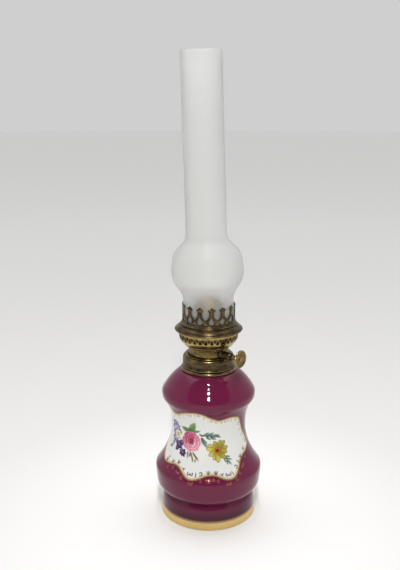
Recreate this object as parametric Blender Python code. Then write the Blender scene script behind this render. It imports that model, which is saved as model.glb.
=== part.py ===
# Table oil lamp: porcelain font, screw-in flat-wick burner, lift-off gallery and a frosted bulge chimney.
# Origin: centre of the foot ring on the table. +Z up, the wick-raiser shaft points along +X.
import bpy
import bmesh
import math
from mathutils import Matrix, Vector

MM = 0.001
GAP = 0.3                     # clearance left between neighbouring pieces
TAU = 2 * math.pi

# porcelain font
FOOT_R = 44.1                 # gilded edge of the foot
FOOT_TOP_R = 43.0
FOOT_TOP_Z = 13.0
GROOVE_R = 38.7               # groove between foot and belly
GROOVE_Z = 23.2
BELLY_LOW_R = 48.3
BELLY_LOW_Z = 35.0
BELLY_R = 49.1                # widest part of the lamp
BELLY_Z = 47.0
WAIST_R = 34.2
WAIST_Z = 87.0
BAND_LOW_R = 41.6             # shoulder band, lower and upper crease
BAND_LOW_Z = 113.4
BAND_R = 43.1
BAND_Z = 120.0
NECK_TOP_R = 29.3
NECK_TOP_Z = 139.4
WALL = 4.0
NECK_BORE_R = 22.6
FLOOR_Z = 7.0
UNDER_Z = 2.5                 # shallow recess inside the foot ring

# collar and the screw thread
COLLAR_BORE_R = 19.4
COLLAR_TUBE_R = 20.3
COLLAR_BEAD_R = 25.3
COLLAR_BEAD_Z = 139.7
COLLAR_TOP_Z = 142.6
COLLAR_LOW_Z = 129.5
THREAD_PITCH = 2.5
SPIGOT_R = 17.9

# burner
DRUM_R = 23.5
DRUM_LOW_Z = 144.3            # drum floor; the skirt reaches lower, round the washer
DRUM_SKIRT_Z = 142.95
DRUM_TOP_Z = 154.7
NECK_R = 18.4
NECK_RING_R = 19.6
BASKET_LOW_Z = 162.2
BASKET_TOP_Z = 176.6
BASKET_R = 27.0
BASKET_HOLES = 32
BASKET_TURN = 0.65            # azimuth of the first drop, degrees
SHEET = 0.8

# wick raiser: shaft beside the wick, along +X
SHAFT_Y = -5.0
SHAFT_Z = 158.1
SHAFT_R = 1.5
BOSS_R = 3.7
BOSS_END_X = 33.0
KNOB_X = 40.3
KNOB_R = 8.0
WHEEL_R = 3.85
WHEEL_TEETH = 12
WHEEL_X = (-6.0, 0.0, 6.0)

# wick and its tube
WICK_W = 18.0
WICK_T = 1.8
WICK_LOW_Z = 42.0
WICK_TOP_Z = 201.5
TUBE_W = 19.8
TUBE_T = 3.6
TUBE_LOW_Z = 134.0
TUBE_TOP_Z = 200.5

# gallery
LIP_R = 30.7
LIP_Z = 177.6
CROWN_R = 23.8
CROWN_WALL = 0.7
CROWN_LOW_Z = 182.0
CROWN_RING_Z = 184.3
CROWN_TIP_Z = 202.2
PRONGS = 14
PRONG_TURN = -44.5            # azimuth of the first prong, degrees
DOME_R = 14.6
DOME_TOP_Z = 206.8

# chimney
FOOT_GLASS_R = 22.55
FOOT_GLASS_Z = 184.6
FLARE_Z = 203.5
BULGE = [(22.9, 208.6), (24.7, 212.6), (27.6, 217.3), (29.7, 220.8), (31.0, 224.3), (32.0, 231.5), (31.7, 237.0),
         (30.7, 242.5), (29.6, 245.9), (28.0, 248.8), (25.9, 251.5), (24.0, 253.5), (21.9, 255.4), (20.1, 257.5),
         (18.8, 260.3), (18.1, 264.5), (17.9, 270.0)]
RIM_R = 17.6
RIM_Z = 417.0
GLASS = 1.7
LEAN = 1.8                    # the chimney leans a little in its prongs, degrees
LEAN_TO = 220.2               # azimuth it leans towards, degrees
LEAN_PIVOT_Z = 193.0


def start_empty():
    for ob in list(bpy.data.objects):
        bpy.data.objects.remove(ob, do_unlink=True)
    for me in list(bpy.data.meshes):
        bpy.data.meshes.remove(me)


def material(name, colour, metallic, roughness, alpha=1.0):
    mat = bpy.data.materials.new(name)
    mat.use_nodes = True
    shader = mat.node_tree.nodes["Principled BSDF"]
    shader.inputs["Base Color"].default_value = (*colour, 1.0)
    shader.inputs["Metallic"].default_value = metallic
    shader.inputs["Roughness"].default_value = roughness
    shader.inputs["Alpha"].default_value = alpha
    return mat


def new_object(name, bm, mat=None):
    bmesh.ops.recalc_face_normals(bm, faces=bm.faces)
    me = bpy.data.meshes.new(name)
    bm.to_mesh(me)
    bm.free()
    ob = bpy.data.objects.new(name, me)
    bpy.context.collection.objects.link(ob)
    if mat is not None:
        me.materials.append(mat)
    return ob


def turned_mesh(profile, steps):
    """Closed (radius, height) outline turned once round Z."""
    bm = bmesh.new()
    ring = [bm.verts.new((r * MM, 0, z * MM)) for r, z in profile]
    edges = [bm.edges.new((ring[i], ring[(i + 1) % len(ring)])) for i in range(len(ring))]
    bmesh.ops.spin(bm, geom=ring + edges, cent=(0, 0, 0), axis=(0, 0, 1), angle=TAU,
                   steps=steps, use_merge=True)
    bmesh.ops.remove_doubles(bm, verts=bm.verts, dist=1e-6)
    return bm


def turned(name, profile, steps, mat=None):
    return new_object(name, turned_mesh(profile, steps), mat)


def solid_turned(name, profile, steps, mat=None):
    """Open outline from axis to axis turned round Z into a solid without a bore."""
    bm = bmesh.new()
    ring = [bm.verts.new((r * MM, 0, z * MM)) for r, z in profile]
    edges = [bm.edges.new((ring[i], ring[i + 1])) for i in range(len(ring) - 1)]
    bmesh.ops.spin(bm, geom=ring + edges, cent=(0, 0, 0), axis=(0, 0, 1), angle=TAU,
                   steps=steps, use_merge=True)
    bmesh.ops.remove_doubles(bm, verts=bm.verts, dist=1e-6)
    return new_object(name, bm, mat)


def box(name, low, high, mat=None):
    bm = bmesh.new()
    bmesh.ops.create_cube(bm, size=1.0)
    size = [(h - l) * MM for l, h in zip(low, high)]
    mid = [(h + l) * MM / 2 for l, h in zip(low, high)]
    bmesh.ops.scale(bm, vec=size, verts=bm.verts)
    bmesh.ops.translate(bm, vec=mid, verts=bm.verts)
    return new_object(name, bm, mat)


def flat_prism(bm, outline, low_z, high_z):
    """Adds an (x, y) outline raised from low_z to high_z."""
    low = [bm.verts.new((x * MM, y * MM, low_z * MM)) for x, y in outline]
    face = bm.faces.new(low)
    top = bmesh.ops.extrude_face_region(bm, geom=[face])
    verts = [v for v in top["geom"] if isinstance(v, bmesh.types.BMVert)]
    bmesh.ops.translate(bm, vec=(0, 0, (high_z - low_z) * MM), verts=verts)


def radial_prism(bm, outline, radius, turn, inner, outer):
    """Adds an (arc length, height) outline as a wedge from the inner to the outer radius."""
    rings = []
    for r in (inner, outer):
        ring = []
        for u, z in outline:
            a = math.radians(turn) + u / radius
            ring.append(bm.verts.new((r * math.cos(a) * MM, r * math.sin(a) * MM, z * MM)))
        rings.append(ring)
    count = len(outline)
    bm.faces.new(rings[0])
    bm.faces.new(rings[1])
    for i in range(count):
        j = (i + 1) % count
        bm.faces.new((rings[0][i], rings[0][j], rings[1][j], rings[1][i]))


def combine(target, tool, operation):
    tool.hide_render = True
    tool.display_type = "WIRE"
    mod = target.modifiers.new(operation.lower(), "BOOLEAN")
    mod.operation = operation
    mod.solver = "EXACT"
    mod.object = tool
    bpy.context.view_layer.update()
    graph = bpy.context.evaluated_depsgraph_get()
    made = bpy.data.meshes.new_from_object(target.evaluated_get(graph))
    target.modifiers.remove(mod)
    old = target.data
    target.data = made
    made.name = target.name
    bpy.data.meshes.remove(old)
    bpy.data.objects.remove(tool, do_unlink=True)
    tidy(target)


def tidy(ob):
    bm = bmesh.new()
    bm.from_mesh(ob.data)
    bmesh.ops.remove_doubles(bm, verts=bm.verts, dist=2e-6)
    bmesh.ops.dissolve_degenerate(bm, edges=bm.edges, dist=1e-6)
    bmesh.ops.triangulate(bm, faces=[f for f in bm.faces if len(f.verts) > 4])
    bm.to_mesh(ob.data)
    bm.free()


def smooth(ob):
    bpy.ops.object.select_all(action="DESELECT")
    ob.select_set(True)
    bpy.context.view_layer.objects.active = ob
    bpy.ops.object.shade_smooth()
    ob.data.set_sharp_from_angle(angle=math.radians(32))


def set_origin(ob, point):
    """Moves the object's origin to a point on its joint axis without moving its shape."""
    at = Vector(point) * MM
    ob.data.transform(Matrix.Translation(-at))
    ob.location = at


def power_curve(start, end, exponent, count):
    """From start to end, radius changing with a power of the height: flat first, steep last."""
    out = []
    for i in range(count + 1):
        t = i / count
        out.append((start[0] + (end[0] - start[0]) * t ** exponent, start[1] + (end[1] - start[1]) * t))
    return out


def quarter(start, end, count, flat_first):
    """Quarter ellipse between two points; flat_first leaves the start along the radius."""
    out = []
    for i in range(count + 1):
        a = math.pi / 2 * i / count
        if flat_first:
            fr, fz = math.sin(a), 1 - math.cos(a)
        else:
            fr, fz = 1 - math.cos(a), math.sin(a)
        out.append((start[0] + (end[0] - start[0]) * fr, start[1] + (end[1] - start[1]) * fz))
    return out


def font_outline(fine):
    """Line of the porcelain, foot to neck; fine adds points to its curves."""
    line = [(FOOT_R - 0.9, 0.0), (FOOT_R, 1.0), (FOOT_TOP_R + 0.3, 6.5)]
    line += quarter((FOOT_TOP_R, FOOT_TOP_Z), (GROOVE_R, GROOVE_Z), 2 + fine, False)
    line += quarter((GROOVE_R, GROOVE_Z + 0.8), (BELLY_LOW_R, BELLY_LOW_Z), 2 + fine, True)
    line += [(BELLY_R, BELLY_Z - 3.5), (BELLY_R, BELLY_Z)]
    fall = power_curve((WAIST_R, WAIST_Z), (BELLY_R - 0.6, BELLY_Z + 1.5), 2.05, 4 + 2 * fine)
    line += fall[::-1]
    line += power_curve((WAIST_R, WAIST_Z), (BAND_LOW_R, BAND_LOW_Z), 2.6, 3 + fine)[1:]
    line += power_curve((BAND_R, BAND_Z), (NECK_TOP_R, NECK_TOP_Z - 0.6), 1.35, 3 + fine)
    return line


def inset(line, depth):
    """The same line moved inwards by a wall thickness, measured square to it."""
    out = []
    for i, (r, z) in enumerate(line):
        before = line[max(i - 1, 0)]
        after = line[min(i + 1, len(line) - 1)]
        dr, dz = after[0] - before[0], after[1] - before[1]
        size = math.hypot(dr, dz)
        out.append((r - depth * dz / size, z + depth * dr / size))
    return out


def helix(name, inner, outer, base_h, crest_h, low_z, turns, crest_in, per_turn=32):
    """Screw thread ridge: a trapezoid wound round Z. crest_in puts its narrow edge on the inside."""
    bm = bmesh.new()
    wide = base_h / 2
    slim = crest_h / 2
    if crest_in:
        corners = [(inner, -slim), (outer, -wide), (outer, wide), (inner, slim)]
    else:
        corners = [(inner, -wide), (outer, -slim), (outer, slim), (inner, wide)]
    verts = [bm.verts.new((r * MM, 0, (low_z + z) * MM)) for r, z in corners]
    face = bm.faces.new(verts)
    steps = round(per_turn * turns)
    rise = THREAD_PITCH * turns / steps
    bmesh.ops.spin(bm, geom=[face], cent=(0, 0, 0), axis=(0, 0, 1), dvec=(0, 0, rise * MM),
                   angle=TAU * turns, steps=steps)
    bmesh.ops.remove_doubles(bm, verts=bm.verts, dist=1e-6)
    inner_faces = [f for f in bm.faces if all(len(e.link_faces) > 2 for e in f.edges)]
    bmesh.ops.delete(bm, geom=inner_faces, context="FACES")
    loose = [e for e in bm.edges if len(e.link_faces) == 1]
    if loose:
        bmesh.ops.holes_fill(bm, edges=loose)
    return new_object(name, bm)


def cylinder_x(name, x0, x1, radius, steps, mat=None):
    """Round bar along X on the wick-raiser's axis."""
    return turned_x(name, [(0, x0), (radius, x0), (radius, x1), (0, x1)], steps, mat)


def turned_x(name, profile, steps, mat=None):
    """(radius, x) outline turned round the wick-raiser's axis."""
    ob = solid_turned(name, profile, steps, mat) if profile[0][0] == 0 else turned(name, profile, steps, mat)
    ob.data.transform(Matrix.Translation((0, SHAFT_Y * MM, SHAFT_Z * MM)) @ Matrix.Rotation(math.pi / 2, 4, "Y"))
    return ob


start_empty()

porcelain = material("porcelain_font", (0.22, 0.03, 0.10), 0.0, 0.12)
plaster = material("collar_cement", (0.75, 0.72, 0.66), 0.0, 0.85)
brass = material("aged_brass", (0.36, 0.28, 0.14), 1.0, 0.35)
bright = material("knob_brass", (0.50, 0.38, 0.18), 1.0, 0.32)
cork = material("burner_washer", (0.16, 0.10, 0.06), 0.0, 0.85)
cotton = material("wick", (0.83, 0.80, 0.70), 0.0, 0.95)
frosted = material("frosted_glass", (0.90, 0.91, 0.90), 0.0, 0.55, 0.45)

# ---- porcelain font: one hollow body, open at the neck
outer = font_outline(1)
belly_wall = inset(font_outline(0), WALL)
cavity = [p for p in belly_wall if FLOOR_Z + 4 < p[1] < NECK_TOP_Z - 8.5][::2]
cavity = [(34.0, FLOOR_Z), (38.2, FLOOR_Z + 2.6)] + cavity + [(NECK_BORE_R + 4.0, 132.4), (NECK_BORE_R, 134.0)]
profile = outer + [(NECK_TOP_R - 0.8, NECK_TOP_Z), (NECK_BORE_R, NECK_TOP_Z)] + cavity[::-1]
profile += [(0.0, FLOOR_Z), (0.0, UNDER_Z), (38.5, UNDER_Z), (39.3, 0.0)]
start = profile.index((0.0, UNDER_Z))
font = solid_turned("porcelain_font", profile[start:] + profile[:start], 36, porcelain)

# ---- brass collar set in plaster, with the female thread
collar = turned("font_collar", [
    (COLLAR_BORE_R, COLLAR_LOW_Z), (COLLAR_TUBE_R, COLLAR_LOW_Z), (COLLAR_TUBE_R, COLLAR_BEAD_Z),
    (COLLAR_BEAD_R - 0.7, COLLAR_BEAD_Z), (COLLAR_BEAD_R, COLLAR_BEAD_Z + 0.8),
    (COLLAR_BEAD_R - 0.1, COLLAR_BEAD_Z + 1.8), (COLLAR_BEAD_R - 0.8, COLLAR_TOP_Z - 0.1),
    (COLLAR_BEAD_R - 2.2, COLLAR_TOP_Z), (COLLAR_BORE_R, COLLAR_TOP_Z)], 32, brass)
ridge = helix("collar_thread", 18.55, COLLAR_BORE_R + 0.35, 1.0, 0.6, 134.0, 1.75, True)
combine(collar, ridge, "UNION")

cement = turned("collar_cement", [
    (COLLAR_TUBE_R + GAP, 130.2), (NECK_BORE_R - GAP, 134.4), (NECK_BORE_R - GAP, COLLAR_BEAD_Z - 0.5),
    (COLLAR_TUBE_R + GAP, COLLAR_BEAD_Z - 0.5)], 28, plaster)

# ---- washer squeezed between the collar and the burner
washer = turned("burner_washer", [
    (SPIGOT_R + GAP, COLLAR_TOP_Z + GAP), (22.4, COLLAR_TOP_Z + GAP),
    (22.4, DRUM_LOW_Z - GAP), (SPIGOT_R + GAP, DRUM_LOW_Z - GAP)], 28, cork)
set_origin(washer, (0, 0, COLLAR_TOP_Z + GAP))

# ---- burner drum: threaded spigot, floor, cylindrical wall with a rounded shoulder
drum = turned("burner_drum", [
    (SPIGOT_R - 0.9, 131.0), (SPIGOT_R, 131.0), (SPIGOT_R, DRUM_LOW_Z), (22.75, DRUM_LOW_Z), (22.75, DRUM_SKIRT_Z),
    (DRUM_R, DRUM_SKIRT_Z), (DRUM_R + 0.35, DRUM_SKIRT_Z + 0.35), (DRUM_R + 0.35, DRUM_SKIRT_Z + 1.1),
    (DRUM_R, DRUM_SKIRT_Z + 1.5), (DRUM_R, DRUM_TOP_Z - 3.9), (DRUM_R - 0.4, DRUM_TOP_Z - 2.4), (22.3, DRUM_TOP_Z - 1.4),
    (21.5, DRUM_TOP_Z - 1.2), (21.2, DRUM_TOP_Z - 0.2), (20.2, DRUM_TOP_Z), (NECK_R + GAP, DRUM_TOP_Z),
    (NECK_R + GAP, DRUM_TOP_Z - SHEET), (20.4, DRUM_TOP_Z - 0.9), (20.8, DRUM_TOP_Z - 1.9), (22.0, DRUM_TOP_Z - 2.2),
    (DRUM_R - SHEET, DRUM_TOP_Z - 3.9), (DRUM_R - SHEET, DRUM_LOW_Z + 0.8), (SPIGOT_R - 0.9, DRUM_LOW_Z + 0.8)],
    32, brass)
ridge = helix("spigot_thread", SPIGOT_R - 0.35, 19.0, 1.0, 0.6, 132.2 + THREAD_PITCH / 2 - 0.7, 2.0, False)
combine(drum, ridge, "UNION")
floor = solid_turned("drum_floor", [(0, DRUM_LOW_Z - 0.1), (SPIGOT_R - 0.5, DRUM_LOW_Z - 0.1),
                                    (SPIGOT_R - 0.5, DRUM_LOW_Z + 0.7), (0, DRUM_LOW_Z + 0.7)], 32)
combine(drum, floor, "UNION")
combine(drum, box("tube_slot", (-TUBE_W / 2 - GAP, -TUBE_T / 2 - GAP, DRUM_LOW_Z - 2),
                  (TUBE_W / 2 + GAP, TUBE_T / 2 + GAP, DRUM_LOW_Z + 2)), "DIFFERENCE")
hole = solid_turned("vent_hole", [(0, 140), (1.6 + GAP, 140), (1.6 + GAP, 148), (0, 148)], 12)
hole.data.transform(Matrix.Translation((0, 8.0 * MM, 0)))
combine(drum, hole, "DIFFERENCE")
combine(drum, cylinder_x("boss_way", 12, 30, BOSS_R + GAP, 32), "DIFFERENCE")

# ---- neck between drum and basket, with the thin ring on top
neck = turned("burner_neck", [
    (NECK_R - SHEET, 145.2), (NECK_R - 0.1, 145.2), (NECK_R - 0.1, DRUM_TOP_Z - 1.4), (NECK_R, DRUM_TOP_Z - 1.2),
    (NECK_R, BASKET_LOW_Z - 1.1), (NECK_RING_R - 0.2, BASKET_LOW_Z - 0.9), (NECK_RING_R, BASKET_LOW_Z - 0.6),
    (NECK_RING_R - 0.2, BASKET_LOW_Z - GAP), (NECK_R - SHEET, BASKET_LOW_Z - GAP)], 32, brass)
combine(neck, cylinder_x("boss_way", 12, 30, BOSS_R + GAP, 32), "DIFFERENCE")

# ---- boss that carries the shaft out over the drum's shoulder
boss = turned_x("shaft_boss", [
    (SHAFT_R + 0.35, 12.6), (BOSS_R - 0.6, 12.6), (BOSS_R - 0.6, 17.9), (BOSS_R, 18.3), (BOSS_R, 27.6),
    (BOSS_R - 0.35, 29.4), (BOSS_R - 0.9, 31.2), (BOSS_R - 1.5, 32.6), (SHAFT_R + 0.35, BOSS_END_X)], 20, brass)

# ---- flat wick tube with three windows for the spiked wheels
tube = box("wick_tube", (-TUBE_W / 2, -TUBE_T / 2, TUBE_LOW_Z), (TUBE_W / 2, TUBE_T / 2, TUBE_TOP_Z), brass)
combine(tube, box("tube_bore", (-TUBE_W / 2 + 0.5, -TUBE_T / 2 + 0.5, TUBE_LOW_Z - 2),
                  (TUBE_W / 2 - 0.5, TUBE_T / 2 - 0.5, TUBE_TOP_Z + 2)), "DIFFERENCE")
for x in WHEEL_X:
    combine(tube, box("window", (x - 0.95, -TUBE_T, SHAFT_Z - 4.2), (x + 0.95, -0.6, SHAFT_Z + 4.2)), "DIFFERENCE")

# ---- vent tube that lets air down into the font
vent = turned("vent_tube", [(1.1, 138.0), (1.6, 138.0), (1.6, 163.2), (1.1, 163.2)], 16, brass)
vent.data.transform(Matrix.Translation((0, 8.0 * MM, 0)))

# ---- sheet housing round the wheels, open towards the wick tube
housing = box("wheel_housing", (-9.6, -10.4, 152.3), (9.6, -TUBE_T / 2 - GAP, 163.5), brass)
combine(housing, box("housing_inside", (-9.1, -9.9, 152.8), (9.1, 0, 163.0)), "DIFFERENCE")
combine(housing, cylinder_x("shaft_way", -14, 14, SHAFT_R + 0.35, 20), "DIFFERENCE")

# ---- shaft with spiked wheels and the flat round knob
shaft = cylinder_x("wick_shaft", -11.2, KNOB_X - 1.1 - GAP, SHAFT_R, 20, bright)
wheels = []
for n, x in enumerate(WHEEL_X, 1):
    rim = []
    for k in range(WHEEL_TEETH * 2):
        a = TAU * k / (WHEEL_TEETH * 2)
        r = WHEEL_R if k % 2 == 0 else WHEEL_R - 0.9
        rim.append((r * math.cos(a), r * math.sin(a)))
    bm = bmesh.new()
    flat_prism(bm, rim, x - 0.5, x + 0.5)
    wheel = new_object("wick_wheel_%d" % n, bm, brass)
    bore = solid_turned("wheel_bore", [(0, x - 2), (SHAFT_R + GAP, x - 2), (SHAFT_R + GAP, x + 2), (0, x + 2)], 16)
    combine(wheel, bore, "DIFFERENCE")
    wheel.data.transform(Matrix.Translation((0, SHAFT_Y * MM, SHAFT_Z * MM)) @ Matrix.Rotation(math.pi / 2, 4, "Y"))
    wheels.append(wheel)

knob = turned_x("knob_disc", [
    (SHAFT_R + GAP, KNOB_X - 3.2), (3.0, KNOB_X - 3.2), (3.0, KNOB_X - 1.3), (KNOB_R - 0.9, KNOB_X - 1.0),
    (KNOB_R - 0.5, KNOB_X - 1.4), (KNOB_R, KNOB_X - 1.1), (KNOB_R, KNOB_X + 0.1), (KNOB_R - 0.4, KNOB_X + 0.35),
    (KNOB_R - 1.0, KNOB_X), (KNOB_R - 2.6, KNOB_X - 0.25), (2.6, KNOB_X), (1.2 + GAP, KNOB_X),
    (1.2 + GAP, KNOB_X - 1.1), (SHAFT_R + GAP, KNOB_X - 1.1)], 24, bright)
rivet = turned_x("knob_rivet", [
    (0, KNOB_X - 1.0), (1.2, KNOB_X - 1.0), (1.2, KNOB_X + GAP), (1.9, KNOB_X + GAP), (1.7, KNOB_X + 0.75),
    (1.0, KNOB_X + 1.05), (0, KNOB_X + 1.15)], 20, bright)
for ob in [shaft, knob, rivet] + wheels:
    set_origin(ob, (0, SHAFT_Y, SHAFT_Z))

# ---- pierced air basket: a bowl of sheet with a row of drops and inverted triangles
bowl = [(19.3, BASKET_LOW_Z), (21.3, 163.5), (23.7, 165.7), (25.2, 167.4), (26.1, 169.0), (26.7, 171.2),
        (BASKET_R, 173.6), (BASKET_R, BASKET_TOP_Z)]
inside = [(18.4, BASKET_LOW_Z), (20.9, 164.2), (23.1, 166.2), (24.6, 167.9), (25.4, 169.3), (26.0, 171.3),
          (BASKET_R - 0.7, 173.6), (BASKET_R - 0.7, BASKET_TOP_Z)]
basket = turned("air_basket", bowl + inside[::-1], BASKET_HOLES * 2, brass)
bm = bmesh.new()
for k in range(BASKET_HOLES):
    turn = BASKET_TURN + 360 / BASKET_HOLES * k
    drop = [(0, 173.0), (-1.1, 171.0), (-0.7, 169.9), (0.7, 169.9), (1.1, 171.0)]
    radial_prism(bm, drop, 26.5, turn, 20, 32)
    wedge = [(-1.2, 173.7), (0, 171.6), (1.2, 173.7)]
    radial_prism(bm, wedge, 26.5, turn + 180 / BASKET_HOLES, 20, 32)
combine(basket, new_object("basket_piercing", bm), "DIFFERENCE")

# ---- perforated plate that spreads the air round the wick tube
plate = solid_turned("diffuser_plate", [(0, 164.0), (19.6, 164.0), (19.6, 164.7), (0, 164.7)], 28, brass)
bm = bmesh.new()
for k in range(10):
    a = TAU * (k + 0.5) / 10
    cx, cy = 14.6 * math.cos(a), 14.6 * math.sin(a)
    ring = [(cx + 1.8 * math.cos(TAU * i / 6), cy + 1.8 * math.sin(TAU * i / 6)) for i in range(6)]
    flat_prism(bm, ring, 163, 166)
combine(plate, new_object("plate_holes", bm), "DIFFERENCE")
combine(plate, box("tube_slot", (-TUBE_W / 2 - GAP, -TUBE_T / 2 - GAP, 163), (TUBE_W / 2 + GAP, TUBE_T / 2 + GAP, 166)),
        "DIFFERENCE")

# ---- gallery flange: upright neck, rounded bead, thin wide brim and a short spigot inside the basket
flange = turned("gallery_flange", [
    (CROWN_R + GAP, 183.9), (24.8, 183.9), (24.8, 181.7), (25.3, 181.1), (26.6, 180.9), (27.8, 180.2), (28.9, 179.1),
    (29.5, 178.6), (30.3, 178.3), (LIP_R, LIP_Z + 0.2), (LIP_R, LIP_Z - 0.2), (30.2, 177.1),
    (BASKET_R + 0.1, BASKET_TOP_Z + GAP), (26.0, BASKET_TOP_Z + GAP), (26.0, 172.9), (25.3, 172.9), (25.3, 177.4),
    (27.2, 178.1), (27.9, 178.9), (27.1, 179.8), (26.2, 180.2), (24.8, 180.4), (CROWN_R + GAP, 181.3)], 32, brass)

# ---- crown: a band cut into pointed prongs whose legs cross above the ring
crown = turned("chimney_crown", [
    (CROWN_R - 2.0, CROWN_LOW_Z), (CROWN_R, CROWN_LOW_Z), (CROWN_R, CROWN_RING_Z), (CROWN_R + 0.6, CROWN_RING_Z + 0.1),
    (CROWN_R + 0.6, CROWN_RING_Z + 0.9), (CROWN_R, CROWN_RING_Z + 1.1), (CROWN_R, CROWN_TIP_Z + 1),
    (CROWN_R - CROWN_WALL, CROWN_TIP_Z + 1), (CROWN_R - CROWN_WALL, CROWN_LOW_Z + 0.7),
    (CROWN_R - 2.0, CROWN_LOW_Z + 0.7)], PRONGS * 3, brass)
crown.data.transform(Matrix.Rotation(math.radians(PRONG_TURN), 4, "Z"))
pitch = TAU * CROWN_R / PRONGS
side = [(0.3, CROWN_TIP_Z), (3.3, 200.4), (3.3, 199.3), (2.2, 198.7), (2.2, 194.2), (4.5, 191.1)]
notch = [(0.3, 204.5)] + side + [(pitch / 2, 190.7)] + [(pitch - u, z) for u, z in side[::-1]] + [(pitch - 0.3, 204.5)]
kite = [(0, 193.2), (-2.5, 189.2), (-1.2, 186.5), (1.2, 186.5), (2.5, 189.2)]
moon = [(pitch / 2 - 2.0, 186.5), (pitch / 2 + 2.0, 186.5), (pitch / 2 + 0.8, 188.6), (pitch / 2 - 0.8, 188.6)]
bm = bmesh.new()
for k in range(PRONGS):
    turn = PRONG_TURN + 360 / PRONGS * k
    for shape in (notch, kite, moon):
        radial_prism(bm, shape, CROWN_R, turn, 20, 27)
combine(crown, new_object("crown_piercing", bm), "DIFFERENCE")

# ---- deflector: seat for the glass and the dome with its flame slot
dome_out = [(DOME_R, 184.4), (DOME_R - 0.1, 192.5), (DOME_R - 1.2, 198.6), (11.2, 203.0), (7.2, 205.6), (3.4, 206.6),
            (0, DOME_TOP_Z)]
dome_in = [(0, DOME_TOP_Z - 0.7), (3.3, 205.9), (6.9, 204.9), (10.7, 202.4), (12.7, 198.3), (DOME_R - 0.8, 192.4),
           (DOME_R - 0.8, 183.0)]
dome = solid_turned("deflector_dome", dome_in + [(CROWN_R - CROWN_WALL - GAP, 183.0),
                                                 (CROWN_R - CROWN_WALL - GAP, 183.7), (DOME_R + 0.6, 183.7)] + dome_out,
                    28, brass)
combine(dome, box("flame_slot", (-11.2, -2.6, 198), (11.2, 2.6, 210)), "DIFFERENCE")
for ob in (flange, crown, dome):
    set_origin(ob, (0, 0, CROWN_LOW_Z))

# ---- flat cotton wick hanging into the font
wick = box("wick", (-WICK_W / 2, -WICK_T / 2, WICK_LOW_Z), (WICK_W / 2, WICK_T / 2, WICK_TOP_Z), cotton)
set_origin(wick, (0, 0, WICK_TOP_Z))

# ---- frosted chimney, leaning slightly in the prongs
glass_out = [(FOOT_GLASS_R - 0.4, FOOT_GLASS_Z), (FOOT_GLASS_R, FOOT_GLASS_Z + 0.4), (FOOT_GLASS_R, FLARE_Z - 3.0)]
glass_out += BULGE
glass_out += [(RIM_R, RIM_Z - 0.5), (RIM_R - 0.45, RIM_Z)]
glass_in = inset(glass_out[2:-2], GLASS)
glass_in = [(FOOT_GLASS_R - GLASS, FOOT_GLASS_Z + 0.2)] + glass_in + [(RIM_R - GLASS + 0.3, RIM_Z)]
chimney = turned("glass_chimney", glass_out + glass_in[::-1], 32, frosted)
chimney.data.transform(Matrix.Translation((0, 0, -LEAN_PIVOT_Z * MM)))
away = math.radians(LEAN_TO + 90)
chimney.data.transform(Matrix.Rotation(math.radians(LEAN), 4, (math.cos(away), math.sin(away), 0)))
chimney.data.transform(Matrix.Translation((0, 0, LEAN_PIVOT_Z * MM)))
set_origin(chimney, (0, 0, FOOT_GLASS_Z))

for ob in list(bpy.context.scene.objects):
    smooth(ob)
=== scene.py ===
import bpy
import bmesh
import math
import numpy as np
from mathutils import Matrix, Vector


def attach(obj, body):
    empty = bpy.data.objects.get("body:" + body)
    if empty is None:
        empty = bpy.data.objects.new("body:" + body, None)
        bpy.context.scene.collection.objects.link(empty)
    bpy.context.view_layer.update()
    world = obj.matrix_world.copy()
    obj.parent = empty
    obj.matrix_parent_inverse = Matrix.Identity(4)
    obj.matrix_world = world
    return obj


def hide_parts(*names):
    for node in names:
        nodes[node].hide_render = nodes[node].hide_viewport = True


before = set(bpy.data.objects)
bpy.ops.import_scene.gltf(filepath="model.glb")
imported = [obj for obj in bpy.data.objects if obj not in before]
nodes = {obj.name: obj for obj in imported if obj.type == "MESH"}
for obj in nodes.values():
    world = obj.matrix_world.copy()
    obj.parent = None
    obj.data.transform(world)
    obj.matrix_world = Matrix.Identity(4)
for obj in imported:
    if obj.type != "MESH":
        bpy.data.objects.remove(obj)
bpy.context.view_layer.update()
print("frame loaded:", len(nodes), "CAD nodes")

mm = 0.001
fullTurn = 2 * math.pi
viewAzimuth = 40.2    # degrees, the side the painted panel faces
faceAngle = math.radians(viewAzimuth - 90)    # the same side as an angle about +Z


# small helpers
def linearColour(hexColour):
    # sRGB hex to linear light
    parts = [int(hexColour[i:i + 2], 16) / 255 for i in (1, 3, 5)]
    return tuple(c / 12.92 if c <= 0.04045 else ((c + 0.055) / 1.055) ** 2.4 for c in parts) + (1.0,)


def addNode(tree, kind, settings=None, links=None):
    # one shader node with its values and incoming links
    made = tree.nodes.new("ShaderNode" + kind)
    for key, value in (settings or {}).items():
        if isinstance(key, int) or key in made.inputs:
            made.inputs[key].default_value = value
        else:
            setattr(made, key, value)
    for key, source in (links or {}).items():
        tree.links.new(source, made.inputs[key])
    return made


def addNoise(tree, place, scale, detail, roughness=0.5):
    # noise from 0 to 1, its grain about 1000 / scale mm
    values = {"Scale": scale, "Detail": detail, "Roughness": roughness}
    return addNode(tree, "TexNoise", values, {"Vector": place}).outputs["Fac"]


def addRange(tree, source, given, wanted, curve="LINEAR"):
    # carries one range of values over to another
    values = {"From Min": given[0], "From Max": given[1], "To Min": wanted[0], "To Max": wanted[1],
              "interpolation_type": curve}
    return addNode(tree, "MapRange", values, {"Value": source}).outputs["Result"]


def addMaths(tree, operation, source, *terms, clamp=False):
    # a sum or product; each further term is a number or a socket
    values = {k: t for k, t in enumerate(terms, 1) if isinstance(t, float)}
    links = {k: t for k, t in enumerate(terms, 1) if not isinstance(t, float)}
    return addNode(tree, "Math", {"operation": operation, "use_clamp": clamp, **values},
        {0: source, **links}).outputs[0]


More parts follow.
